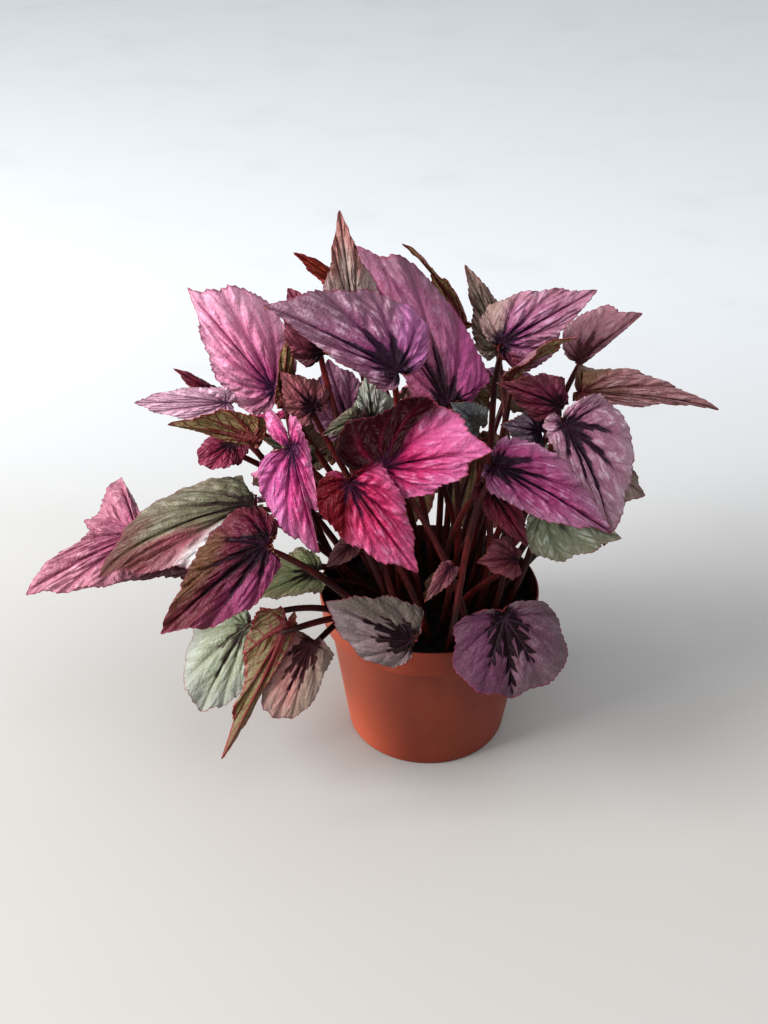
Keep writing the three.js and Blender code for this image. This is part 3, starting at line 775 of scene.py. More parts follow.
OWN_FINISHES: dict[int, BladeFinish] = {
    1: retone(
        Tone.PURPLE, "mauve_black_star", body=(118, 70, 96), fringe=(116, 80, 96), silver=(192, 164, 180),
        star_width=4.4, star_core=8.5, star_reach=0.66, silvering=0.6,
        patches=(Patch(125, 55, (156, 92, 138), 0.8, 0.2), Patch(0, 30, (102, 74, 88), 0.6, 0.5)),
    ),
    2: retone(
        Tone.MAGENTA, "magenta_painted_shade_back", body=(146, 42, 86), fringe=(158, 84, 120),
        heart=(104, 12, 50), star_reach=0.45,
        # The first patch is painted shade over the back half's own crimson, where that half turns away from
        # the light.
        patches=(Patch(-118, 92, (30, 0, 6), 1.0, -0.3), Patch(-10, 22, (158, 84, 120), 0.5, 0.4)),
        sheen=0.06, vein=(30, 2, 14), veining=0.2, silvering=0.34,
    ),
    3: retone(
        Tone.MAGENTA, "magenta_painted_shade_sides", body=(152, 40, 80), fringe=(156, 72, 104), heart=(96, 8, 34),
        # Its two dark patches are the halves' own crimson with painted shade where they turn away from the
        # light.
        star_width=2.2, patches=(Patch(105, 60, (74, 2, 14), 1.0, -0.3), Patch(-150, 50, (84, 4, 20), 0.9)),
        sheen=0.1, vein=(52, 8, 26), silvering=0.3,
    ),
    4: retone(
        Tone.PINK, "pink_purple", body=(176, 64, 116), fringe=(182, 104, 140), heart=(132, 34, 90),
        star_width=1.8, star_reach=0.45, veining=0.35, patches=(Patch(60, 40, (136, 70, 118), 0.6, 0.2),),
    ),
    5: retone(
        Tone.PURPLE, "violet_black_star", heart=(100, 18, 66), body=(136, 56, 98), fringe=(132, 86, 110),
        star_width=3.6, star_reach=0.8,
    ),
    6: retone(
        Tone.PURPLE, "silvery_mauve", heart=(100, 30, 68), body=(152, 104, 126), fringe=(148, 116, 126),
        silver=(192, 170, 182), star_width=4.4, star_reach=0.85, silvering=0.7,
    ),
    7: retone(Tone.OLIVE, "grey_rose", body=(120, 94, 92), fringe=(116, 98, 92)),
    8: retone(
        Tone.SILVER, "grey_green", body=(122, 126, 102), fringe=(118, 116, 98),
        patches=(Patch(-70, 50, (140, 104, 104), 0.6, 0.6),), star_width=2.0,
    ),
    9: retone(
        Tone.LAVENDER, "lilac_brown_star", star=(14, 4, 6), heart=(76, 36, 58), body=(92, 66, 76),
        fringe=(98, 80, 86), silver=(116, 98, 106), star_width=6.5, star_core=8.0, star_reach=0.92,
        star_fall=0.3, feather=5.0, patches=(Patch(75, 75, (68, 34, 56), 0.8, 0.1),), crinkle=0.3,
        sheen=0.07,
    ),
    10: retone(
        Tone.LAVENDER, "grey_lavender", star=(22, 5, 9), heart=(80, 56, 62), body=(108, 90, 92),
        fringe=(112, 100, 100), silver=(136, 124, 128), star_width=7.0, star_core=8.0, star_reach=0.62,
        star_fall=0.08, feather=4.0, patches=(Patch(60, 60, (84, 78, 68), 0.75, 0.1),), crinkle=0.3,
        sheen=0.09,
    ),
    11: retone(
        Tone.ROSE, "rose_brown", star=(44, 12, 16), body=(146, 102, 98), fringe=(146, 118, 110),
        silver=(158, 136, 132), star_width=5.0, star_reach=0.7, feather=3.0,
        patches=(Patch(-70, 50, (110, 102, 90), 0.7, 0.2),), crinkle=0.3, sheen=0.12,
    ),
    13: retone(
        Tone.PLUM, "plum_olive_side", star=(18, 4, 10), heart=(48, 5, 22), body=(70, 14, 34),
        fringe=(80, 34, 38), silver=(98, 44, 66), star_width=4.2, star_reach=0.95,
        patches=(Patch(34, 30, (82, 58, 38), 0.85, 0.5), Patch(-60, 45, (120, 52, 88), 0.7, 0.35)),
        sheen=0.14,
    ),
    14: retone(
        Tone.SILVER, "mint_silver", heart=(102, 104, 80), body=(120, 124, 106), fringe=(130, 132, 124),
        silver=(154, 158, 152), vein=(92, 102, 74), star=(40, 20, 24), star_width=4.0, star_core=3.0,
        star_reach=0.7, star_fall=0.35, feather=2.0, silvering=0.4, veining=0.4, streaking=0.15,
        crinkle=0.3,
    ),
    15: retone(
        Tone.OLIVE, "olive_silver_patch", body=(94, 90, 72), fringe=(96, 88, 74),
        patches=(
            Patch(-72, 40, (206, 208, 206), 1.0, 0.0), Patch(-24, 20, (112, 34, 58), 0.8, 0.35),
            Patch(0, 24, (76, 38, 36), 0.85, 0.6),
        ),
    ),
    16: retone(
        Tone.PINK, "rose_pink", heart=(150, 74, 104), body=(140, 84, 102), fringe=(150, 98, 112),
        silver=(202, 156, 170), vein=(98, 48, 84), star_width=0.8, star_core=1.0, veining=0.4,
    ),
    18: retone(Tone.OLIVE, "sage", heart=(130, 138, 98), body=(152, 160, 118), fringe=(156, 148, 118)),
    19: retone(
        Tone.CRIMSON, "small_rose", body=(112, 58, 66), fringe=(128, 84, 86), star_width=1.4, star_core=3.0,
    ),
    20: retone(
        Tone.CRIMSON, "small_crimson", body=(92, 40, 44), fringe=(120, 66, 74), star_width=1.4,
        star_core=3.0,
    ),
    22: retone(
        Tone.CRIMSON, "small_brown", body=(104, 60, 60), fringe=(112, 76, 72), star_width=1.2,
        star_core=2.5,
    ),
    24: retone(
        Tone.PINK, "bright_pink", heart=(176, 76, 128), body=(200, 124, 156), fringe=(198, 142, 164),
        silver=(214, 170, 190), vein=(124, 60, 104), star=(64, 38, 74), star_width=1.8, star_reach=0.4,
        veining=0.45,
    ),
    25: retone(
        Tone.PINK, "pale_mauve", heart=(168, 118, 144), body=(182, 140, 160), fringe=(184, 146, 162),
        silver=(204, 176, 188), star_width=0.6, star_core=1.0,
    ),
    28: retone(Tone.CRIMSON, "crimson_pink", body=(112, 26, 54), fringe=(122, 48, 70)),
    30: retone(
        Tone.PURPLE, "mauve_pink_lobe", star=(24, 5, 14), heart=(48, 2, 22), body=(130, 74, 102),
        fringe=(112, 76, 92), silver=(150, 116, 136), star_width=4.6, star_core=10.0, star_reach=0.55,
        sheen=0.14,
        patches=(Patch(105, 60, (146, 64, 112), 0.75, 0.15), Patch(-60, 60, (118, 42, 72), 0.5, 0.2)),
    ),
    31: retone(
        Tone.CRIMSON, "crimson_mauve", body=(124, 58, 78), fringe=(130, 70, 84),
        patches=(Patch(-130, 60, (62, 28, 34), 0.8),),
    ),
    33: retone(
        Tone.KHAKI, "khaki_red_tip", body=(146, 126, 120), fringe=(140, 118, 116), silver=(168, 150, 148),
        star_width=1.0, star_core=2.0, patches=(Patch(0, 40, (132, 78, 70), 0.7, 0.65),),
    ),
    36: retone(
        Tone.PURPLE, "mauve_khaki_top", body=(138, 88, 112), fringe=(140, 98, 112), star_width=2.2,
        patches=(Patch(-115, 55, (130, 112, 100), 0.8, 0.1), Patch(120, 50, (92, 26, 40), 0.8, 0.1)),
    ),
    38: retone(Tone.ROSE, "rose_mauve", body=(146, 100, 112), fringe=(142, 100, 110), heart=(112, 60, 78)),
    39: retone(
        Tone.ROSE, "rose_brown_base", heart=(86, 60, 44), body=(124, 86, 88), fringe=(134, 98, 100),
        vein=(72, 18, 22), star=(70, 30, 28), star_width=0.8, veining=0.7,
        patches=(Patch(-120, 60, (92, 66, 46), 0.9), Patch(120, 50, (92, 62, 46), 0.9)),
    ),
    40: retone(Tone.PURPLE, "dusky_mauve", body=(132, 82, 108), fringe=(126, 84, 106)),
    41: retone(Tone.SILVER, "green_black_vein", body=(102, 96, 92), star=(22, 12, 18), star_width=2.8),
    42: retone(Tone.CRIMSON, "brown_crimson", body=(146, 84, 92), fringe=(130, 80, 80)),
    43: retone(Tone.CRIMSON, "crimson_deep", heart=(64, 10, 24), body=(98, 30, 54), fringe=(84, 36, 42)),
    44: retone(
        Tone.SILVER, "slate", body=(78, 76, 82), fringe=(84, 86, 86), heart=(62, 52, 62), silvering=0.35,
    ),
    45: retone(Tone.PURPLE, "slate_mauve", body=(94, 76, 88), fringe=(96, 82, 90), heart=(80, 40, 66)),
}

UNDERSIDES = UndersideFinish(
    "underside", srgb(124, 106, 72), srgb(98, 50, 38), srgb(84, 12, 14), srgb(104, 28, 28)
)
OWN_UNDERSIDES = {
    12: UndersideFinish(
        "olive_underside", srgb(92, 82, 52), srgb(88, 46, 34), srgb(92, 10, 18), srgb(112, 20, 30),
    ),
}
STALKS = StalkFinish("stalk", srgb(42, 7, 9), srgb(104, 28, 26))
HAIRS = StalkFinish("stalk_hair", srgb(122, 66, 58), srgb(176, 122, 108))


# --- Work on meshes -----------------------------------------------------------------------------


def choose(*pieces: bpy.types.Object) -> None:
    """Selects these pieces alone, the first one active, as operators act on what is selected."""
    for each in bpy.context.selected_objects:
        each.select_set(False)
    for each in pieces:
        each.select_set(True)
    bpy.context.view_layer.objects.active = pieces[0] if pieces else None


@contextmanager
def editing() -> Iterator[None]:
    """Edit mode while the block lasts, with everything selected."""
    bpy.ops.object.mode_set(mode="EDIT")
    bpy.ops.mesh.select_all(action="SELECT")
    yield
    bpy.ops.object.mode_set(mode="OBJECT")


def corners(mesh: bpy.types.Mesh) -> Array:
    """A mesh's vertices, as rows."""
    points = np.empty(len(mesh.vertices) * 3)
    mesh.vertices.foreach_get("co", points)
    return points.reshape(-1, 3)


def raise_rings(rings: Sequence[Pair]) -> None:
    """Extrudes the selected ring from each radius and height to the next.

    Args:
        rings: Radius and height of each ring, in mm, from the selected one on.
    """
    for (before, low), (radius, high) in zip(rings, rings[1:]):
        bpy.ops.mesh.extrude_region_move(TRANSFORM_OT_translate={"value": (0, 0, (high - low) * MM)})
        grown = radius / before
        bpy.ops.transform.resize(value=(grown, grown, 1), center_override=(0, 0, high * MM))


def scatter(made: bpy.types.Object, name: str, copies: list[Array]) -> None:
    """Puts many copies in place of a piece's one shape.

    Args:
        made: The piece.
        name: The new mesh's name.
        copies: The vertices of each copy, as rows.
    """
    faces = np.array([polygon.vertices[:] for polygon in made.data.polygons])
    each = [faces + k * len(copies[0]) for k in range(len(copies))]
    made.data = bpy.data.meshes.new(name)
    made.data.from_pydata(np.concatenate(copies).tolist(), [], np.concatenate(each).tolist())


def dress(made: bpy.types.Object, *materials: bpy.types.Material) -> None:
    """Gives a piece its materials, in place of what it has."""
    made.data.materials.clear()
    for material in materials:
        made.data.materials.append(material)


def settle(made: bpy.types.Object, node: str, smooth: float) -> None:
    """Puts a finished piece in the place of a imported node.

    Args:
        made: The piece.
        node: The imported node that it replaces.
        smooth: The angle in degrees up to which edges are shaded smooth.
    """
    choose(made)
    bpy.ops.object.transform_apply(location=True, rotation=True, scale=True)
    bpy.ops.object.shade_smooth_by_angle(angle=math.radians(smooth))
    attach(made, "root")
    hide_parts(node)
    LOG.info("%s: %d faces", made.name, len(made.data.polygons))


# --- Leaves ---------------------------------------------------------------------------------------

# Radii of a blade's outline at these angles from its tip, pointed and round, of unit length.
OUTLINE_ANGLES = (0, 5, 12, 22, 36, 52, 70, 90, 110, 130, 150, 165, 176, 180)
OUTLINE_POINTED = (1, 0.9, 0.8, 0.72, 0.655, 0.61, 0.575, 0.55, 0.53, 0.5, 0.45, 0.36, 0.2, 0.2)
OUTLINE_ROUND = (1, 0.985, 0.97, 0.93, 0.88, 0.8, 0.7, 0.62, 0.57, 0.52, 0.46, 0.36, 0.2, 0.2)
LOBE_DEPTH = 0.39  # how far back the outlines' own lobes reach
LAST_ANGLE = 176.0  # where the margin turns in to the stalk
FINE_STEPS = 1409  # along the margin from one such place to the other, four to a degree


def vein_number(angle: Array, share: Array) -> Array:
    """How many main veins lie between the midrib and a point, as a number with its fraction."""
    return VEIN_SPREAD * (np.abs(angle) * (1 + VEIN_BEND * share)) ** VEIN_POWER


def sway(x: Array, y: Array, z: float) -> Array:
    """Smooth noise from about -1 to 1 at each place."""
    return np.array([noise.noise(Vector((*place, z))) for place in zip(x.tolist(), y.tolist())])


def outline_table(values: Sequence[float]) -> Array:
    """An outline for each whole degree from the tip, with its corners eased.

    Args:
        values: The outline at the angles of OUTLINE_ANGLES.

    Returns:
        181 radii.
    """
    table = np.interp(np.arange(181), OUTLINE_ANGLES, values)
    for _ in range(10):
        table[4:-1] = (table[3:-2] + 2 * table[4:-1] + table[5:]) / 4
    return table


SOIL_RADIUS = 54.0
STALK_FOOT = 70.0  # height of a stalk's lower end, in its hole in the soil
STALK_RISE = 0.45  # share of its length over which it leaves the soil
STALK_BEND = 0.24  # share of its length over which it turns to meet the blade

POINTED = outline_table(OUTLINE_POINTED)
ROUNDED = outline_table(OUTLINE_ROUND)
DEGREES = np.arange(181.0)


def widest(values: Sequence[float]) -> float:
    """The greatest half width of an outline that is one unit long."""
    return float(np.max(np.sin(np.radians(DEGREES)) * np.interp(DEGREES, OUTLINE_ANGLES, values)))


POINTED_WIDTH = widest(OUTLINE_POINTED)
ROUND_WIDTH = widest(OUTLINE_ROUND)


@dataclass(frozen=True)
class Form:
    """A leaf's place and shape, in mm and degrees.

    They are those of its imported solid, apart from 1 to 3 mm in leaves 12, 41, 42, 43 and 45.
    """

    number: int
    at: Triple  # where the stalk meets the blade
    tip: Triple
    faces: Triple  # the way its upper face looks
    half: Pair  # width of its left and right half
    lobes: Pair  # how far its two lobes reach behind the stalk
    tone: Tone
    fold: Pair = (12, 12)  # how far its halves are lifted at the midrib
    curl: Pair = (-25, -25)  # and how much further at the margin
    arch: float = 30  # how far it bends over along its length
    twist: float = 0
    round: float = 0  # from the pointed outline, 0, to the round one, 1
    draw: float = 0  # how far it is drawn in towards the tip
    swell: Pair = (0, 0)  # how much wider its halves are towards the tip
    bumps: tuple[Triple, ...] = ()  # angle, rise as a share of the radius, spread in degrees
    comes_from: Triple | None = None  # the side from which its stalk meets it


FORMS = (
    Form(1, (-19, -36, 240), (-80, -28, 269), (0, -7, 7), (11, 34), (4, 11), Tone.PURPLE),
    Form(
        2, (-24, -60, 202), (24, -76, 220), (1, -7, 7), (35, 17), (26, 3), Tone.MAGENTA, round=0.25,
        bumps=((-100, -0.1, 18), (-152, 0.6, 22), (30, 0.1, 10), (120, -0.3, 30)),
    ),
    Form(3, (-40, -72, 201), (-9, -92, 165), (-1, -8, 6), (17, 20), (3, 10), Tone.MAGENTA, round=0.2),
    Form(
        4, (-68, -48, 205), (-55, -60, 150), (-1, -8, 5), (8, 23), (16, 16), Tone.PINK,
        bumps=((110, -0.85, 28), (162, 0.35, 14), (-15, -0.3, 12)),
    ),
    Form(
        5, (28, -60, 202), (82, -72, 173), (2, -7, 7), (21, 13), (6, 6), Tone.PURPLE, round=0.35,
        bumps=((38, 0.1, 12), (115, -0.25, 25), (-105, -0.1, 20)),
    ),
    Form(
        6, (63, -30, 207), (87, -48, 157), (3, -6, 7), (36, 12), (8, 9), Tone.PURPLE, round=0.3,
        bumps=((-75, 0.08, 25),),
    ),
    Form(7, (79, -17, 181), (106, -26, 165), (0, -8, 5), (11, 24), (4, 4), Tone.OLIVE, round=0.3),
    Form(
        8, (56, -30, 159), (94, -42, 150), (1, -8, 5), (12, 22), (5, 7), Tone.SILVER,
        bumps=((60, 0.12, 25),),
    ),
    Form(
        9, (35, -64, 117), (39, -86, 84), (1, -8, 6), (30, 26), (8, 5), Tone.LAVENDER, round=0.8,
        bumps=((42, 0.16, 22), (-42, 0.18, 22)),
    ),
    Form(
        10, (-11, -74, 111), (-53, -70, 132), (0, -8, 5), (17, 17), (3, 1), Tone.LAVENDER, round=0.3,
        swell=(0.3, 0),
    ),
    Form(
        11, (-61, -64, 101), (-80, -76, 62), (-1, -8, 5), (13, 17), (5, 3), Tone.ROSE, round=1,
        bumps=((-45, 0.1, 20), (-130, -0.2, 25)),
    ),
    Form(
        12, (-73, -68, 115), (-107, -90, 47), (5, 8, 2), (17, 5), (5, 10), Tone.UNDERSIDE, fold=(40, 40),
        draw=0.45, swell=(0.6, 0),
    ),
    Form(
        13, (-80, -66, 163), (-132, -84, 123), (-2, -7, 7), (20, 25), (1, 10), Tone.PLUM, swell=(0.4, 0),
        bumps=((22, -0.12, 12), (-95, -0.45, 35), (-150, -0.5, 25)),
    ),
    Form(
        14, (-96, -42, 95), (-122, -57, 49), (-3, -8, 6), (19, 27), (5, 8), Tone.SILVER, round=0.6,
        comes_from=(7, 2, 10),
    ),
    Form(
        15, (-90, -32, 163), (-169, -45, 128), (-3, -6, 8), (27, 20), (6, 2), Tone.OLIVE, arch=75,
        swell=(0, 0.45),
    ),
    Form(
        16, (-151, -22, 139), (-214, -32, 106), (-4, -6, 6), (20, 34), (10, 8), Tone.PINK,
        bumps=((28, -0.45, 18), (58, -0.3, 14), (92, 0.3, 12), (135, -0.35, 20)),
    ),
    Form(17, (-128, -10, 114), (-190, -20, 102), (-1, -2, 10), (10, 16), (6, 6), Tone.UNDERSIDE),
    Form(18, (-60, -26, 118), (-93, -38, 109), (-1, -5, 8), (10, 18), (5, 5), Tone.OLIVE),
    Form(19, (7, -66, 149), (-5, -76, 136), (0, -8, 6), (5, 5), (3, 3), Tone.PINK),
    Form(20, (39, -58, 149), (20, -68, 154), (0, -7, 7), (10, 12), (3, 4), Tone.CRIMSON),
    Form(21, (25, -48, 184), (45, -58, 156), (0, -8, 6), (11, 9), (4, 4), Tone.CRIMSON),
    Form(22, (-41, -48, 150), (-53, -54, 141), (0, -8, 6), (6, 6), (3, 3), Tone.PINK),
    Form(23, (-36, -14, 203), (-55, -22, 197), (0, -7, 7), (7, 7), (3, 3), Tone.OLIVE),
    Form(
        24, (-80, 6, 208), (-120, 14, 259), (-2, -8, 6), (20, 20), (8, 7), Tone.PINK,
        bumps=((13, 0.14, 7), (34, 0.4, 14), (60, 0.45, 18), (110, -0.4, 28)),
    ),
    Form(25, (-103, -8, 208), (-147, -14, 211), (-2, -8, 5), (9, 8), (5, 5), Tone.PINK, round=0.5),
    Form(
        26, (-88, -24, 196), (-128, -32, 209), (1, 9, -2), (14, 4), (5, 4), Tone.UNDERSIDE,
        comes_from=(4, 1, -8),
    ),
    Form(27, (-111, 10, 203), (-131, 14, 216), (-3, -5, 8), (5, 4), (3, 3), Tone.CRIMSON),
    Form(28, (-101, -12, 187), (-117, -20, 180), (-2, -7, 7), (11, 11), (7, 7), Tone.MAGENTA, round=0.7),
    Form(29, (-61, -18, 180), (-84, -30, 201), (0, -7, 7), (8, 8), (4, 4), Tone.OLIVE),
    Form(
        30, (7, -8, 207), (-45, 58, 266), (1, -8, 6), (13, 28), (2, 5), Tone.PURPLE, swell=(0, 0.4),
        bumps=((30, 0.12, 15), (105, -0.15, 25)),
    ),
    Form(31, (-55, 2, 231), (-70, -2, 266), (-1, -7, 7), (14, 18), (5, 5), Tone.CRIMSON, round=0.5),
    Form(32, (-41, 32, 249), (-69, 28, 272), (-1, -7, 7), (9, 7), (5, 5), Tone.RUST, draw=0.3),
    Form(33, (-39, 12, 242), (-46, 24, 295), (0, -9, 4), (16, 15), (8, 8), Tone.KHAKI, draw=0.35),
    Form(34, (17, 50, 225), (-15, 52, 268), (2, 6, 7), (7, 14), (4, 4), Tone.UNDERSIDE, draw=0.6),
    Form(35, (37, 52, 210), (17, 54, 255), (0, -9, 4), (12, 15), (6, 6), Tone.KHAKI, draw=0.3),
    Form(
        36, (35, 16, 229), (81, 26, 253), (2, -8, 6), (20, 17), (7, 4), Tone.PURPLE,
        bumps=((68, 0.2, 18), (28, -0.12, 12)),
    ),
    Form(37, (36, 2, 216), (71, 8, 237), (0, 7, 7), (8, 8), (5, 5), Tone.UNDERSIDE),
    Form(
        38, (76, 26, 215), (107, 34, 237), (2, -7, 6), (17, 3), (5, 3), Tone.PINK, swell=(0.4, 0),
        bumps=((-30, 0.1, 14),),
    ),
    Form(
        39, (75, 5, 207), (146, 7, 196), (1, -6, 8), (16, 6), (4, 5), Tone.PINK, bumps=((-100, 0.35, 16),),
    ),
    Form(40, (-42, 8, 186), (-53, 18, 219), (-1, -9, 4), (19, 18), (6, 6), Tone.PURPLE, round=0.3),
    Form(41, (-30, -8, 196), (-33, 2, 221), (0, -9, 4), (10, 14), (5, 5), Tone.SILVER),
    Form(42, (-60, -4, 203), (-76, 0, 221), (0, -8, 6), (12, 12), (5, 5), Tone.PINK),
    Form(43, (61, -15, 210), (30, -22, 226), (0, -8, 6), (12, 14), (4, 4), Tone.CRIMSON),
    Form(44, (21, -30, 208), (7, -28, 219), (0, -8, 6), (9, 9), (3, 3), Tone.SILVER),
    Form(45, (51, -25, 201), (31, -32, 209), (0, -8, 6), (10, 10), (4, 4), Tone.PURPLE),
    Form(46, (45, 60, 188), (68, 94, 138), (3, 8, 6), (27, 25), (12, 12), Tone.PURPLE, round=0.6),
    Form(47, (8, 56, 186), (14, 100, 128), (0, 8, 5), (27, 27), (12, 12), Tone.PINK, round=0.3),
    Form(48, (-43, 50, 182), (-56, 94, 112), (-1, 8, 5), (27, 27), (12, 12), Tone.PURPLE, round=0.6),
    Form(49, (-84, 38, 174), (-116, 76, 142), (-5, 6, 6), (18, 18), (10, 10), Tone.MAGENTA, round=0.3),
    Form(50, (74, 54, 144), (108, 84, 96), (5, 7, 4), (24, 24), (12, 12), Tone.SILVER, round=0.3),
    Form(51, (28, 67, 144), (32, 103, 50), (2, 8, 3), (28, 28), (12, 12), Tone.PLUM, round=0.9),
    Form(52, (-16, 78, 142), (-12, 116, 48), (-1, 8, 3), (28, 28), (12, 12), Tone.LAVENDER, round=0.9),
    Form(53, (-68, 52, 142), (-98, 92, 92), (-4, 7, 4), (24, 22), (12, 12), Tone.PINK, round=0.3),
    Form(
        54, (-104, 30, 122), (-152, 50, 96), (-6, 3, 7), (20, 20), (10, 10), Tone.PURPLE,
        comes_from=(8, -2, 1),
    ),
    Form(55, (78, 34, 112), (106, 60, 76), (7, 4, 6), (18, 18), (8, 8), Tone.LAVENDER),
    Form(56, (-75, 1, 204), (-71, 3, 239), (-3, 7, 1), (7, 5), (4, 4), Tone.UNDERSIDE),
    Form(57, (-3, 8, 176), (-5, 12, 218), (0, -9, 4), (15, 15), (4, 4), Tone.UNDERSIDE, round=0.3),
)


class Blade:
    """The curved middle surface of a blade."""

    RUFFLE = 1.5  # height of its waves at the margin, in mm
    WAVES = 5  # how many waves go round it

    def __init__(self, form: Form) -> None:
        """Works out the blade's directions.

        Args:
            form: The leaf's place and shape.
        """
        self.form = form
        self.at = np.array(form.at, float)
        chord = np.array(form.tip, float) - self.at
        self.length = float(np.linalg.norm(chord))
        self.along = chord / self.length
        out = np.array(form.faces, float)
        out -= out.dot(self.along) * self.along
        self.out = out / np.linalg.norm(out)
        self.right = np.cross(self.along, self.out)
        bend = math.radians(form.arch)
        self.bend = bend
        self.midrib = self.length * (bend / 2) / math.sin(bend / 2)
        self.start = self.along * math.cos(bend / 2) + self.out * math.sin(bend / 2)
        self.rise = self.out * math.cos(bend / 2) - self.along * math.sin(bend / 2)

    def flat(self, angle: Array, share: Array) -> tuple[Array, Array]:
        """The place of a point before the blade is bent.

        Args:
            angle: Degrees from the tip, negative to the left.
            share: Share of the way to the margin, which may pass 1 at a tooth.

        Returns:
            Its places across and along the blade.
        """
        form = self.form
        turn, swing = np.abs(angle), np.radians(angle)
        mixed = POINTED + form.round * (ROUNDED - POINTED)
        reach = np.interp(turn, DEGREES, mixed) * share
        for middle, rise, spread in form.bumps:
            reach = reach * (1 + rise * np.exp(-(((angle - middle) / spread) ** 2)))
        left = angle < 0
        half = np.where(left, *form.half)
        drawn = 1 - form.draw * np.maximum(0, 1 - np.abs(turn - 30) / 35)
        swollen = 1 + np.where(left, *form.swell) * np.cos(swing)
        width = half * drawn * swollen / (POINTED_WIDTH + form.round * (ROUND_WIDTH - POINTED_WIDTH))
        forward = np.cos(swing) * reach
        lobes = np.where(left, *form.lobes) / LOBE_DEPTH
        return np.sin(swing) * reach * width, forward * np.where(forward < 0, lobes, self.midrib)

    def bent(self, angle: Array, share: Array, tooth: Array, relief: Array) -> Array:
        """The place of a point on the finished blade.

        Args:
            angle: Degrees from the tip, negative to the left.
            share: Share of the way to the margin.
            tooth: How far the margin's teeth move it out, as a share.
            relief: How far it stands above the middle surface, in mm.

        Returns:
            Points in mm, as rows.
        """
        form = self.form
        x, y = self.flat(angle, share * (1 + tooth))
        bent = self.bend * y / self.midrib
        radius = self.midrib / self.bend
        point = self.at + np.outer(radius * np.sin(bent), self.start)
        point -= np.outer(radius * (1 - np.cos(bent)), self.rise)
        normal = np.outer(np.cos(bent), self.rise) + np.outer(np.sin(bent), self.start)
        twist = np.radians(form.twist) * y / self.midrib
        cos, sin = np.cos(twist)[:, None], np.sin(twist)[:, None]
        across = cos * self.right + sin * normal
        normal = cos * normal - sin * self.right
        pairs = (form.half, form.fold, form.curl)
        half, fold, curl = (np.where(angle < 0, *pair) for pair in pairs)
        lift = np.radians(fold + curl * np.abs(x) / half)
        ease = np.minimum(1, np.abs(angle) / 20)
        wave = self.RUFFLE * share**2 * np.sin(self.WAVES * np.radians(angle)) * ease
        point += across * (x * np.cos(lift))[:, None]
        return point + normal * (np.abs(x) * np.sin(lift) + wave + relief)[:, None]


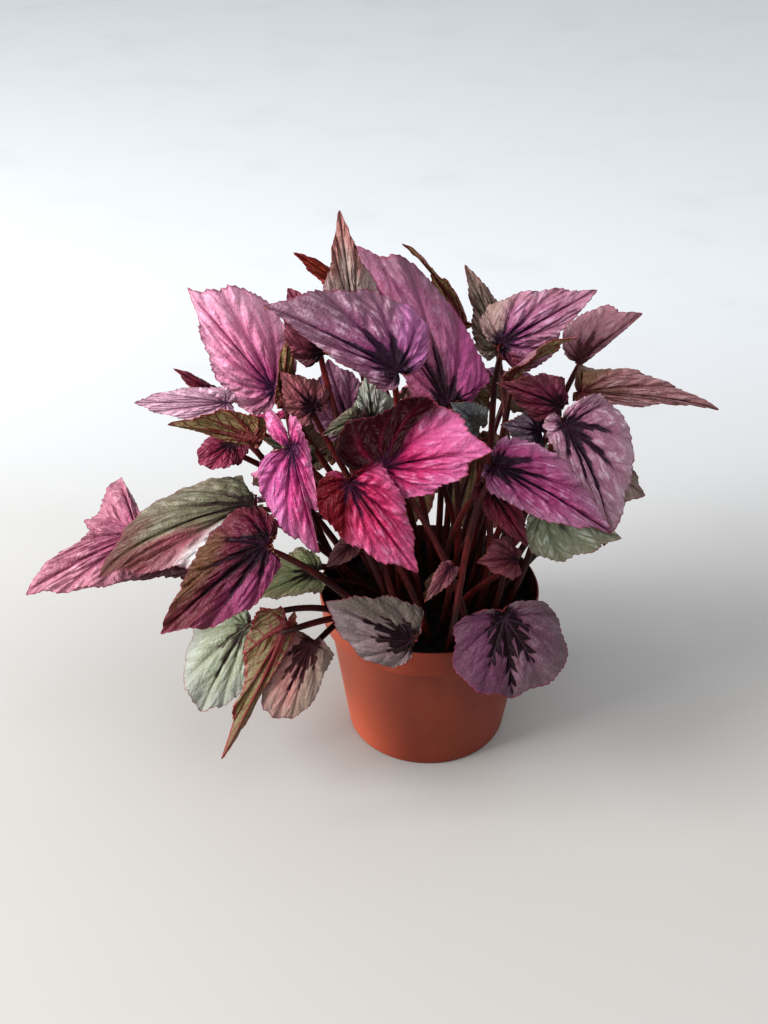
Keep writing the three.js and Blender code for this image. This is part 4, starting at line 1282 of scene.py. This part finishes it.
@dataclass
class LeafMaker:
    """Models a leaf: a puckered, toothed blade with ribs underneath, on a fleshy stalk with hairs."""

    form: Form
    tooth_pitch: float = 4.2
    tooth_depth: float = 1.5
    toothed_from: float = 60.0  # length from which a blade has teeth of full size
    spoke_pitch: float = 1.25  # width of the mesh's faces at the margin
    spoke_limits: Pair = (56, 200)
    ring_pitch: float = 2.6  # and their length
    ring_limits: Pair = (12, 26)
    relief_from: float = 70.0  # length from which a blade has relief of full height
    ridge: float = 1.9  # rise of the blade between two main veins
    swing: float = 2.0  # its slow rise and fall
    pleat: float = 0.7  # rise between two side veins
    pucker: float = 1.6  # dents along the side veins
    frill: float = 3.4  # waves of the margin
    thickness: float = 0.5
    rib: float = 0.9
    rib_width: float = 1.3
    hub_radius: float = 4.0  # of the thick place where the stalk meets the blade
    stalk_base: float = 2.0
    stalk_neck: float = 1.45
    stalk_steps: int = 22
    hairs: int = 90
    hairs_from: float = 0.12  # share of the stalk below them
    hairs_along: float = 0.86  # share of the stalk that has them
    hair_length: float = 1.0
    hair_radius: float = 0.07

    def __post_init__(self) -> None:
        """Sets up the blade and the leaf's own random numbers."""
        self.blade = Blade(self.form)
        self.dice = random.Random(self.form.number)
        self.pleating = 1.0
        self.name = f"leaf_{self.form.number:02d}"

    def spokes(self) -> tuple[Array, Array]:
        """Angles of the mesh's spokes, even along the margin.

        Returns:
            The angles, and the margin's length up to each, in mm.
        """
        fine = np.linspace(-LAST_ANGLE, LAST_ANGLE, FINE_STEPS)
        x, y = self.blade.flat(fine, np.ones_like(fine))
        length = np.concatenate([[0], np.cumsum(np.hypot(np.diff(x), np.diff(y)))])
        count = int(np.clip(length[-1] / self.spoke_pitch, *self.spoke_limits)) // 2 * 2 + 1
        even = np.linspace(0, length[-1], count)
        angles = np.interp(even, length, fine)
        angles[np.argmin(np.abs(angles))] = 0.0
        return angles, even

    def teeth(self, angles: Array, length: Array) -> Array:
        """How far the margin stands out at each spoke, as a share of the radius.

        Args:
            angles: The spokes' angles.
            length: The margin's length up to each.

        Returns:
            The shares.
        """
        x, y = self.blade.flat(angles, np.ones_like(angles))
        radius = np.maximum(np.hypot(x, y), 4.0)
        size = min(1.0, self.blade.length / self.toothed_from)
        pace = self.tooth_pitch * (0.45 + 0.55 * size)
        middle = length[np.argmin(np.abs(angles))]
        from_tip = np.abs(length - middle) / pace
        seed = self.form.number * 7.3
        jitter = sway(from_tip * 0.35, np.full_like(from_tip, seed), 0.0)
        phase = (from_tip + jitter * 0.7) % 1.0
        saw = np.where(phase < 0.3, phase / 0.3, (1 - phase) / 0.7) - 0.5
        spread = vein_number(angles, np.ones_like(angles))
        drift = sway(spread, np.full_like(spread, seed), 3.0)
        turn = np.abs(angles)
        lobing = (0.03 * np.cos(2 * math.pi * spread) + 0.05 * drift) * np.minimum(1, turn / 16)
        ease = np.minimum(1, turn / 6) * np.minimum(1, (LAST_ANGLE - turn) / 12)
        return (saw * self.tooth_depth * (0.4 + 0.6 * size) / radius + lobing) * ease

    def relief(self, angle: Array, share: Array) -> Array:
        """The pucker of the blade between its veins, in mm.

        Args:
            angle: Degrees from the tip.
            share: Share of the way to the margin.

        Returns:
            Heights above the middle surface.
        """
        size = min(1.0, self.blade.length / self.relief_from)
        spread = vein_number(angle, share)
        vein = np.round(spread)
        offset = spread - vein
        off = np.abs(offset)
        phase = share * (1 - off * SIDE_SLANT) * SIDE_VEINS + (offset > 0) * BRANCH_SHIFT + vein * BRANCH_STEP
        ripple = np.abs(phase - np.round(phase))
        between = np.sin(math.pi * np.minimum(0.5, off * 1.6))
        main = np.sin(math.pi * off) ** 0.8 - 0.45
        side = (np.sin(math.pi * ripple) ** 0.8 - 0.4) * between
        swell = np.minimum(1, share * 2.2) * (1 - 0.5 * share**4)
        seed = self.form.number * 3.7
        lumps = sway(angle * 0.05, share * 4.0, seed)
        pucker = sway(off * 3.0 + vein * 5.3, phase * 1.6, seed + 9.0) * between
        frill = sway(angle * 0.11, share * 0.5, seed + 5.0)
        frill = frill + 0.5 * sway(angle * 0.27, share, seed + 6.0)
        broad = self.ridge * main * swell + self.swing * lumps * share
        pleats = (self.pleat * side * swell + self.pucker * pucker * swell) * self.pleating
        turn = 0.5 + 0.5 * np.clip(angle / 12, -1, 1)
        left, right = (min(1.0, half / (0.3 * self.blade.length)) for half in self.form.half)
        size = size * (left * (1 - turn) + right * turn)
        return size * (broad + pleats + self.frill * frill * share**4)

    def make_blade(self, upper: bpy.types.Material, under: bpy.types.Material) -> bpy.types.Object:
        """Models the blade from a grid that is wrapped round its stalk.

        Args:
            upper: The material of its upper face.
            under: The material of its underside and margin.

        Returns:
            The blade, with its upper face, underside and ribs.
        """
        angles, length = self.spokes()
        teeth = self.teeth(angles, length)
        rings = int(np.clip(self.blade.length / self.ring_pitch, *self.ring_limits))
        bpy.ops.mesh.primitive_grid_add(x_subdivisions=len(angles) - 1, y_subdivisions=rings, size=2)
        made = bpy.context.object
        mesh = made.data
        grid = corners(mesh)
        column = np.rint((grid[:, 0] + 1) / 2 * (len(angles) - 1)).astype(int)
        share = (grid[:, 1] + 1) / 2
        angle = angles[column]
        points = self.blade.bent(angle, share, teeth[column] * share**6, self.relief(angle, share))
        mesh.vertices.foreach_set("co", (points * MM).ravel())
        x, y = self.blade.flat(angle, share)
        reach = mesh.attributes.new("reach_mm", "FLOAT", "POINT")
        reach.data.foreach_set("value", np.hypot(x, y).astype(np.float32))

        corner = np.empty(len(mesh.loops), int)
        mesh.loops.foreach_get("vertex_index", corner)
        layer = mesh.uv_layers[0]
        layer.name = "blade"
        uv = np.column_stack([angle[corner] / 360 + 0.5, share[corner]])
        layer.data.foreach_set("uv", uv.ravel())
        dress(made, upper, under)
        self.thicken(made, angle, share)
        return made

    def thicken(self, made: bpy.types.Object, angle: Array, share: Array) -> None:
        """Gives the blade its thickness, and ribs under its main veins.

        Args:
            made: The blade's surface.
            angle: Degrees from the tip, for each vertex.
            share: Share of the way to the margin, for each vertex.
        """
        count = len(angle)
        solid = made.modifiers.new("thickness", "SOLIDIFY")
        solid.thickness = self.thickness * MM
        solid.offset = -1.0
        solid.use_rim = True
        solid.material_offset = 1
        solid.material_offset_rim = 1
        bpy.ops.object.modifier_apply(modifier=solid.name)
        points = corners(made.data)
        down = points[count : 2 * count] - points[:count]
        down /= np.maximum(np.linalg.norm(down, axis=1), 1e-9)[:, None]
        x, y = self.blade.flat(angle, share)
        radius = np.hypot(x, y)
        spread = vein_number(angle, share)
        off = np.abs(spread - np.round(spread))
        distance = off * np.abs(angle) * radius * math.pi / 180 / VEIN_POWER / np.maximum(spread, 0.02)
        width = self.rib_width * (1.1 - share)
        rib = np.exp(-((distance / np.maximum(width, 0.2)) ** 2)) * (1 - share) * self.rib
        hub = self.rib * np.exp(-((radius / self.hub_radius) ** 2))
        points[count : 2 * count] += down * ((rib + hub) * MM)[:, None]
        made.data.vertices.foreach_set("co", points.ravel())
        with editing():
            bpy.ops.mesh.remove_doubles(threshold=1e-5)
            bpy.ops.mesh.normals_make_consistent(inside=False)

    def stalk_line(self) -> Array:
        """The four points of the stalk's curve, in mm, from its foot in the soil.

        Returns:
            The points as rows.
        """
        places = corners(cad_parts[self.name].data) / MM
        inside = places[np.hypot(places[:, 0], places[:, 1]) < SOIL_RADIUS]
        foot = inside[inside[:, 2] < inside[:, 2].min() + 1.6].mean(axis=0)
        foot[2] = STALK_FOOT
        blade = self.blade
        end = blade.at + 0.2 * blade.out + 3 * blade.along
        length = float(np.linalg.norm(end - foot))
        rising = np.array([foot[0] / 60, foot[1] / 60, 1.0])
        if self.form.comes_from:
            arriving = np.array(self.form.comes_from, float)
        else:
            arriving = np.array([0, 0, -0.5]) - 0.8 * blade.out - 0.55 * blade.along
        rising /= np.linalg.norm(rising)
        arriving /= np.linalg.norm(arriving)
        end = end - blade.out * 0.7
        leaving = foot + rising * STALK_RISE * length
        return np.array([foot, leaving, end + arriving * STALK_BEND * length, end])

    def make_stalk(self) -> bpy.types.Object:
        """Models the stalk along its curve.

        Returns:
            The stalk.
        """
        line = self.stalk_line()
        bpy.ops.curve.primitive_bezier_curve_add()
        made = bpy.context.object
        curve = made.data
        first, last = curve.splines[0].bezier_points
        for point, handles in ((first, (0, 0, 1)), (last, (2, 3, 3))):
            point.handle_left_type = point.handle_right_type = "FREE"
            point.handle_left, point.co, point.handle_right = (Vector(line[k] * MM) for k in handles)
        curve.dimensions = "3D"
        curve.resolution_u = self.stalk_steps
        curve.bevel_depth = self.stalk_base * MM
        curve.bevel_resolution = 3
        curve.use_fill_caps = True
        first.radius, last.radius = 1.0, self.stalk_neck / self.stalk_base
        bpy.ops.object.convert(target="MESH")
        return bpy.context.object

    def make_hairs(self) -> bpy.types.Object:
        """Sets short hairs over the stalk, each a slim cone that is open at its root.

        Returns:
            The hairs.
        """
        p0, p1, p2, p3 = self.stalk_line()
        length = self.hair_length * MM
        bpy.ops.mesh.primitive_cone_add(
            vertices=3, radius1=self.hair_radius * MM, depth=length, end_fill_type="NOTHING"
        )
        made = bpy.context.object
        cone = corners(made.data)
        cone[:, 2] += length / 2
        hairs = []
        for _ in range(self.hairs):
            t = self.hairs_from + self.hairs_along * self.dice.random()
            u = 1 - t
            centre = u**3 * p0 + 3 * u * u * t * p1 + 3 * u * t * t * p2 + t**3 * p3
            way = u * u * (p1 - p0) + 2 * u * t * (p2 - p1) + t * t * (p3 - p2)
            way /= np.linalg.norm(way)
            side = np.cross(way, [self.dice.uniform(-1, 1) for _ in range(3)])
            side /= max(float(np.linalg.norm(side)), 1e-6)
            radius = self.stalk_base + t * (self.stalk_neck - self.stalk_base) - 0.1
            lean = Vector(side + way * self.dice.uniform(-0.3, 0.3))
            turn = np.array(lean.to_track_quat("Z", "Y").to_matrix())
            root = (centre + side * radius) * MM
            hairs.append(cone @ turn.T * self.dice.uniform(0.6, 1.2) + root)
        scatter(made, self.name + "_hair", hairs)
        made.location = (0, 0, 0)
        return made

    def build(self, finishes: dict[str, bpy.types.Material]) -> bpy.types.Object:
        """Models the leaf, joins its pieces and dresses them.

        Args:
            finishes: The plant's materials so far, by name, to which a new finish is added.

        Returns:
            The finished leaf.
        """
        choose()
        finish = OWN_FINISHES.get(self.form.number, TONE_FINISHES[self.form.tone])
        under = OWN_UNDERSIDES.get(self.form.number, UNDERSIDES)
        for each in (finish, under):
            if each.name not in finishes:
                finishes[each.name] = each.build()
        self.pleating = min(1.0, finish.crinkle + 0.2)
        blade = self.make_blade(finishes[finish.name], finishes[under.name])
        stalk = self.make_stalk()
        dress(stalk, finishes[STALKS.name])
        hairs = self.make_hairs()
        dress(hairs, finishes[HAIRS.name])
        choose(blade, stalk, hairs)
        bpy.ops.object.join()
        blade.name = blade.data.name = f"begonia_{self.name}"
        settle(blade, self.name, smooth=50)
        return blade


# --- Pot, soil and crown ------------------------------------------------------------------------


@dataclass
class Pot:
    """A tapered nursery pot with a collar, drain holes and a rounded rim."""

    rim_radius: float = 60.0
    height: float = 91.0
    base_radius: float = 44.5
    neck_radius: float = 55.0
    collar_height: float = 17.0
    collar_flare: float = 1.5
    wall: float = 1.8
    floor: float = 2.5
    sides: int = 96
    floor_ring: float = 39.5  # radius of the ring inside which the floor is flat
    drains: int = 6
    drain_radius: float = 4.0
    drain_ring: float = 30.0
    drain_sides: int = 24

    def profile(self) -> list[Pair]:
        """The wall's section, from the middle of the underside round to the inside of the floor.

        Returns:
            Radius and height of each ring, in mm.
        """
        foot = self.height - self.collar_height
        collar = self.rim_radius - self.collar_flare
        inner = self.base_radius + (self.neck_radius - self.base_radius) * self.floor / foot
        top, wall = self.height, self.wall
        return [
            (self.floor_ring, 0.0),
            (self.base_radius - 1.2, 0.0),
            (self.base_radius - 0.3, 0.4),
            (self.base_radius + 0.1, 1.3),
            (self.neck_radius - 0.2, foot - 1.2),
            (self.neck_radius + 0.3, foot - 0.5),
            (collar - 0.6, foot - 0.1),
            (collar, foot + 0.5),
            (self.rim_radius - 0.1, top - 2.2),
            (self.rim_radius, top - 1.0),
            (self.rim_radius - 0.3, top - 0.3),
            (self.rim_radius - 0.9, top),
            (self.rim_radius - 1.5, top - 0.3),
            (self.rim_radius - wall, top - 1.0),
            (collar - wall, foot + wall),
            (self.neck_radius - wall, foot),
            (inner - wall, self.floor),
            (self.floor_ring, self.floor),
        ]

    def build(self) -> bpy.types.Object:
        """Models the pot: a ring is extruded up, over the rim and down inside, and drilled.

        Returns:
            The finished pot.
        """
        choose()
        rings = self.profile()
        bpy.ops.mesh.primitive_circle_add(vertices=self.sides, radius=rings[0][0] * MM, fill_type="NOTHING")
        made = bpy.context.object
        made.name = made.data.name = "nursery_pot"
        with editing():
            raise_rings(rings)
        self.close_floor(made)
        self.drill(made)
        dress(made, PotFinish().build())
        settle(made, "pot", smooth=35)
        return made

    def close_floor(self, made: bpy.types.Object) -> None:
        """Fills the two rings in the middle of the floor.

        Args:
            made: The pot.
        """
        bpy.ops.object.mode_set(mode="EDIT")
        for level in (0.0, self.floor):
            bpy.ops.mesh.select_mode(type="VERT")
            bpy.ops.mesh.select_all(action="DESELECT")
            bpy.ops.object.mode_set(mode="OBJECT")
            for vertex in made.data.vertices:
                radius = math.hypot(vertex.co.x, vertex.co.y)
                on_ring = abs(radius - self.floor_ring * MM) < 1e-4
                vertex.select = abs(vertex.co.z - level * MM) < 1e-5 and on_ring
            bpy.ops.object.mode_set(mode="EDIT")
            bpy.ops.mesh.edge_face_add()
        bpy.ops.mesh.select_all(action="SELECT")
        bpy.ops.mesh.normals_make_consistent(inside=False)
        bpy.ops.object.mode_set(mode="OBJECT")

    def drill(self, made: bpy.types.Object) -> None:
        """Cuts the drain holes.

        Args:
            made: The pot.
        """
        ring = self.drain_ring * MM
        for k in range(self.drains):
            angle = k * math.pi / (self.drains / 2)
            place = (ring * math.cos(angle), ring * math.sin(angle), 1 * MM)
            bpy.ops.mesh.primitive_cylinder_add(
                vertices=self.drain_sides, radius=self.drain_radius * MM, depth=12 * MM, location=place
            )
            bit = bpy.context.object
            cut = made.modifiers.new("drain", "BOOLEAN")
            cut.object, cut.operation, cut.solver = bit, "DIFFERENCE", "EXACT"
            choose(made)
            bpy.ops.object.modifier_apply(modifier=cut.name)
            bpy.data.objects.remove(bit)


@dataclass
class Soil:
    """Compost that fills the pot, with a crumbly top and loose crumbs on it."""

    foot: Pair = (41.2, 2.8)  # radius and height
    neck: Pair = (52.6, 73.5)  # the same, below the pot's collar
    edge_radius: float = 57.0
    edge: float = 81.2
    lumpy_from: float = 79.0
    mound: float = 2.8  # how much higher the soil is in the middle
    rings: int = 20
    slope_rings: int = 8
    sides: int = 72
    crumbs: int = 260
    crumb_reach: float = 54.0
    slope: float = 23.0  # width of the slope from the edge to the level middle
    seed: int = 11

    def build(self) -> bpy.types.Object:
        """Models the soil as rings that rise to a low mound, and covers it with crumbs.

        Returns:
            The finished soil.
        """
        choose()
        rings = [self.foot, self.neck, (self.edge_radius, self.edge)]
        for k in range(1, self.rings):
            height = self.edge + self.mound * min(1, k / self.slope_rings)
            rings.append((self.edge_radius * (1 - k / self.rings), height))
        radius, level = self.foot
        bpy.ops.mesh.primitive_circle_add(
            vertices=self.sides, radius=radius * MM, fill_type="NOTHING", location=(0, 0, level * MM)
        )
        made = bpy.context.object
        made.name = made.data.name = "compost_fill"
        with editing():
            bpy.ops.mesh.edge_face_add()
            raise_rings(rings)
            bpy.ops.mesh.select_all(action="SELECT")
            bpy.ops.mesh.normals_make_consistent(inside=False)
        for vertex in made.data.vertices:
            if vertex.co.z > self.lumpy_from * MM:
                lump = noise.noise(vertex.co * 140) * 1.3 + noise.noise(vertex.co * 420) * 0.6
                inside = self.edge_radius * MM - math.hypot(vertex.co.x, vertex.co.y)
                vertex.co.z += lump * MM * min(1.0, inside / (3 * MM) + 0.15)
        loose = self.make_crumbs()
        dress(made, SoilFinish().build())
        dress(loose, made.data.materials[0])
        choose(made, loose)
        bpy.ops.object.join()
        settle(made, "soil", smooth=40)
        return made

    def make_crumbs(self) -> bpy.types.Object:
        """Scatters crumbs of bark and peat over the soil.

        Returns:
            The crumbs.
        """
        dice = random.Random(self.seed)
        bpy.ops.mesh.primitive_ico_sphere_add(subdivisions=1, radius=1.0 * MM)
        made = bpy.context.object
        ball = corners(made.data)
        crumbs = []
        for _ in range(self.crumbs):
            distance = self.crumb_reach * math.sqrt(dice.random())
            angle = dice.uniform(0, 2 * math.pi)
            height = self.edge + self.mound * min(1.0, (self.edge_radius - distance) / self.slope)
            place = [distance * math.cos(angle), distance * math.sin(angle), height + 0.3]
            shape = np.array([dice.uniform(*each) for each in ((0.5, 2.0), (0.4, 1.1), (0.4, 0.9))])
            way = Vector([dice.gauss(0, 1) for _ in range(3)])
            spin = np.array(way.to_track_quat("Z", "Y").to_matrix())
            crumbs.append((ball * shape) @ spin.T + np.array(place) * MM)
        scatter(made, "crumbs", crumbs)
        return made


@dataclass
class Crown:
    """The knobbly rhizome in the middle of the soil."""

    radius: float = 7.0
    foot: float = 66.0
    top: float = 98.0
    sides: int = 28
    bevel: float = 2.5
    knob_pitch: float = 10.6
    lean: float = 8.0  # degrees to the side

    def build(self) -> bpy.types.Object:
        """Models the crown from a cylinder with three knobs.

        Returns:
            The finished crown.
        """
        choose()
        bpy.ops.mesh.primitive_cylinder_add(
            vertices=self.sides, radius=self.radius * MM, depth=(self.top - self.foot) * MM
        )
        made = bpy.context.object
        made.name = made.data.name = "begonia_crown"
        with editing():
            bpy.ops.mesh.bevel(offset=self.bevel * MM, segments=3)
            bpy.ops.mesh.select_all(action="SELECT")
            bpy.ops.mesh.subdivide(number_cuts=5)
        half = (self.top - self.foot) / 2
        lean = math.radians(self.lean)
        for vertex in made.data.vertices:
            height = vertex.co.z / MM + half
            knob = 0.86 + 0.14 * math.sin(height * 2 * math.pi / self.knob_pitch - 1.2) - 0.006 * height
            wobble = 1 + 0.08 * noise.noise(vertex.co * 260)
            x, y = vertex.co.x / MM * knob * wobble, vertex.co.y / MM * knob * wobble
            vertex.co = Vector((
                (x * math.cos(lean) + height * math.sin(lean)) * MM,
                y * MM,
                (self.foot + height * math.cos(lean) - x * math.sin(lean)) * MM,
            ))
        dress(made, CrownFinish().build())
        settle(made, "rhizome", smooth=60)
        return made


# --- Studio -------------------------------------------------------------------------------------


@dataclass
class Studio:
    """A plain pale floor, soft light from the left and above, and the camera."""

    camera_place: Triple = (-0.0246, -0.583, 0.517)
    camera_pitch: float = 33.0
    lens: float = 46.3
    floor_radius: float = 6.0
    floor_drop: float = 0.0002  # how far the floor lies below the pot
    lit_height: float = 0.15  # where the lights aim
    sky: Triple = (0.93, 0.96, 1.0)
    sky_strength: float = 0.72

    def set_camera(self) -> None:
        """Adds the camera at the photograph's angle."""
        data = bpy.data.cameras.new("camera")
        data.lens = self.lens
        data.sensor_fit = "AUTO"
        data.sensor_width = 36.0
        camera = bpy.data.objects.new("camera", data)
        bpy.context.scene.collection.objects.link(camera)
        camera.location = self.camera_place
        camera.rotation_euler = (math.radians(90 - self.camera_pitch), 0, 0)
        bpy.context.scene.camera = camera

    def set_floor(self) -> None:
        """Adds the floor."""
        choose()
        bpy.ops.mesh.primitive_circle_add(
            vertices=96, radius=self.floor_radius, fill_type="NGON", location=(0, 0, -self.floor_drop)
        )
        floor = bpy.context.object
        floor.name = floor.data.name = "floor"
        dress(floor, FloorFinish().build())

    def add_light(self, name: str, place: Triple, size: float, power: float, tint: Triple) -> None:
        """Adds a soft light that looks at the plant.

        Args:
            name: The light's name.
            place: Where it is.
            size: The length of its side.
            power: Its power in watts.
            tint: Its colour.
        """
        data = bpy.data.lights.new(name, "AREA")
        data.shape, data.size, data.energy, data.color = "SQUARE", size, power, tint
        light = bpy.data.objects.new(name, data)
        bpy.context.scene.collection.objects.link(light)
        light.location = place
        aim = Vector((0.0, 0.0, self.lit_height)) - Vector(place)
        light.rotation_euler = aim.to_track_quat("-Z", "Y").to_euler()

    def set_light(self) -> None:
        """Adds the lights and the pale surroundings."""
        self.add_light("window", (-1.8, -0.55, 1.25), size=1.3, power=92.0, tint=(1.0, 0.99, 0.97))
        self.add_light("fill", (0.7, -0.9, 2.0), size=1.4, power=16.0, tint=(0.97, 0.98, 1.0))
        world = bpy.data.worlds.new("pale_room")
        world.use_nodes = True
        background = world.node_tree.nodes["Background"]
        background.inputs["Color"].default_value = (*self.sky, 1.0)
        background.inputs["Strength"].default_value = self.sky_strength
        bpy.context.scene.world = world
        view = bpy.context.scene.view_settings
        view.view_transform = "Standard"
        view.look = "Medium High Contrast"


def save_sizes() -> None:
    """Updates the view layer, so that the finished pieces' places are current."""
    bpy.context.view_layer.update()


def main() -> None:
    """Builds the studio, the pot with its soil and crown, and the leaves, in that order."""
    logging.basicConfig(level=logging.INFO, format="%(name)s: %(message)s")
    studio = Studio()
    studio.set_camera()
    studio.set_floor()
    studio.set_light()
    Pot().build()
    Soil().build()
    Crown().build()
    finishes = {each.name: each.build() for each in (UNDERSIDES, STALKS, HAIRS)}
    for form in FORMS:
        LeafMaker(form).build(finishes)
    save_sizes()


if __name__ == "__main__":
    main()
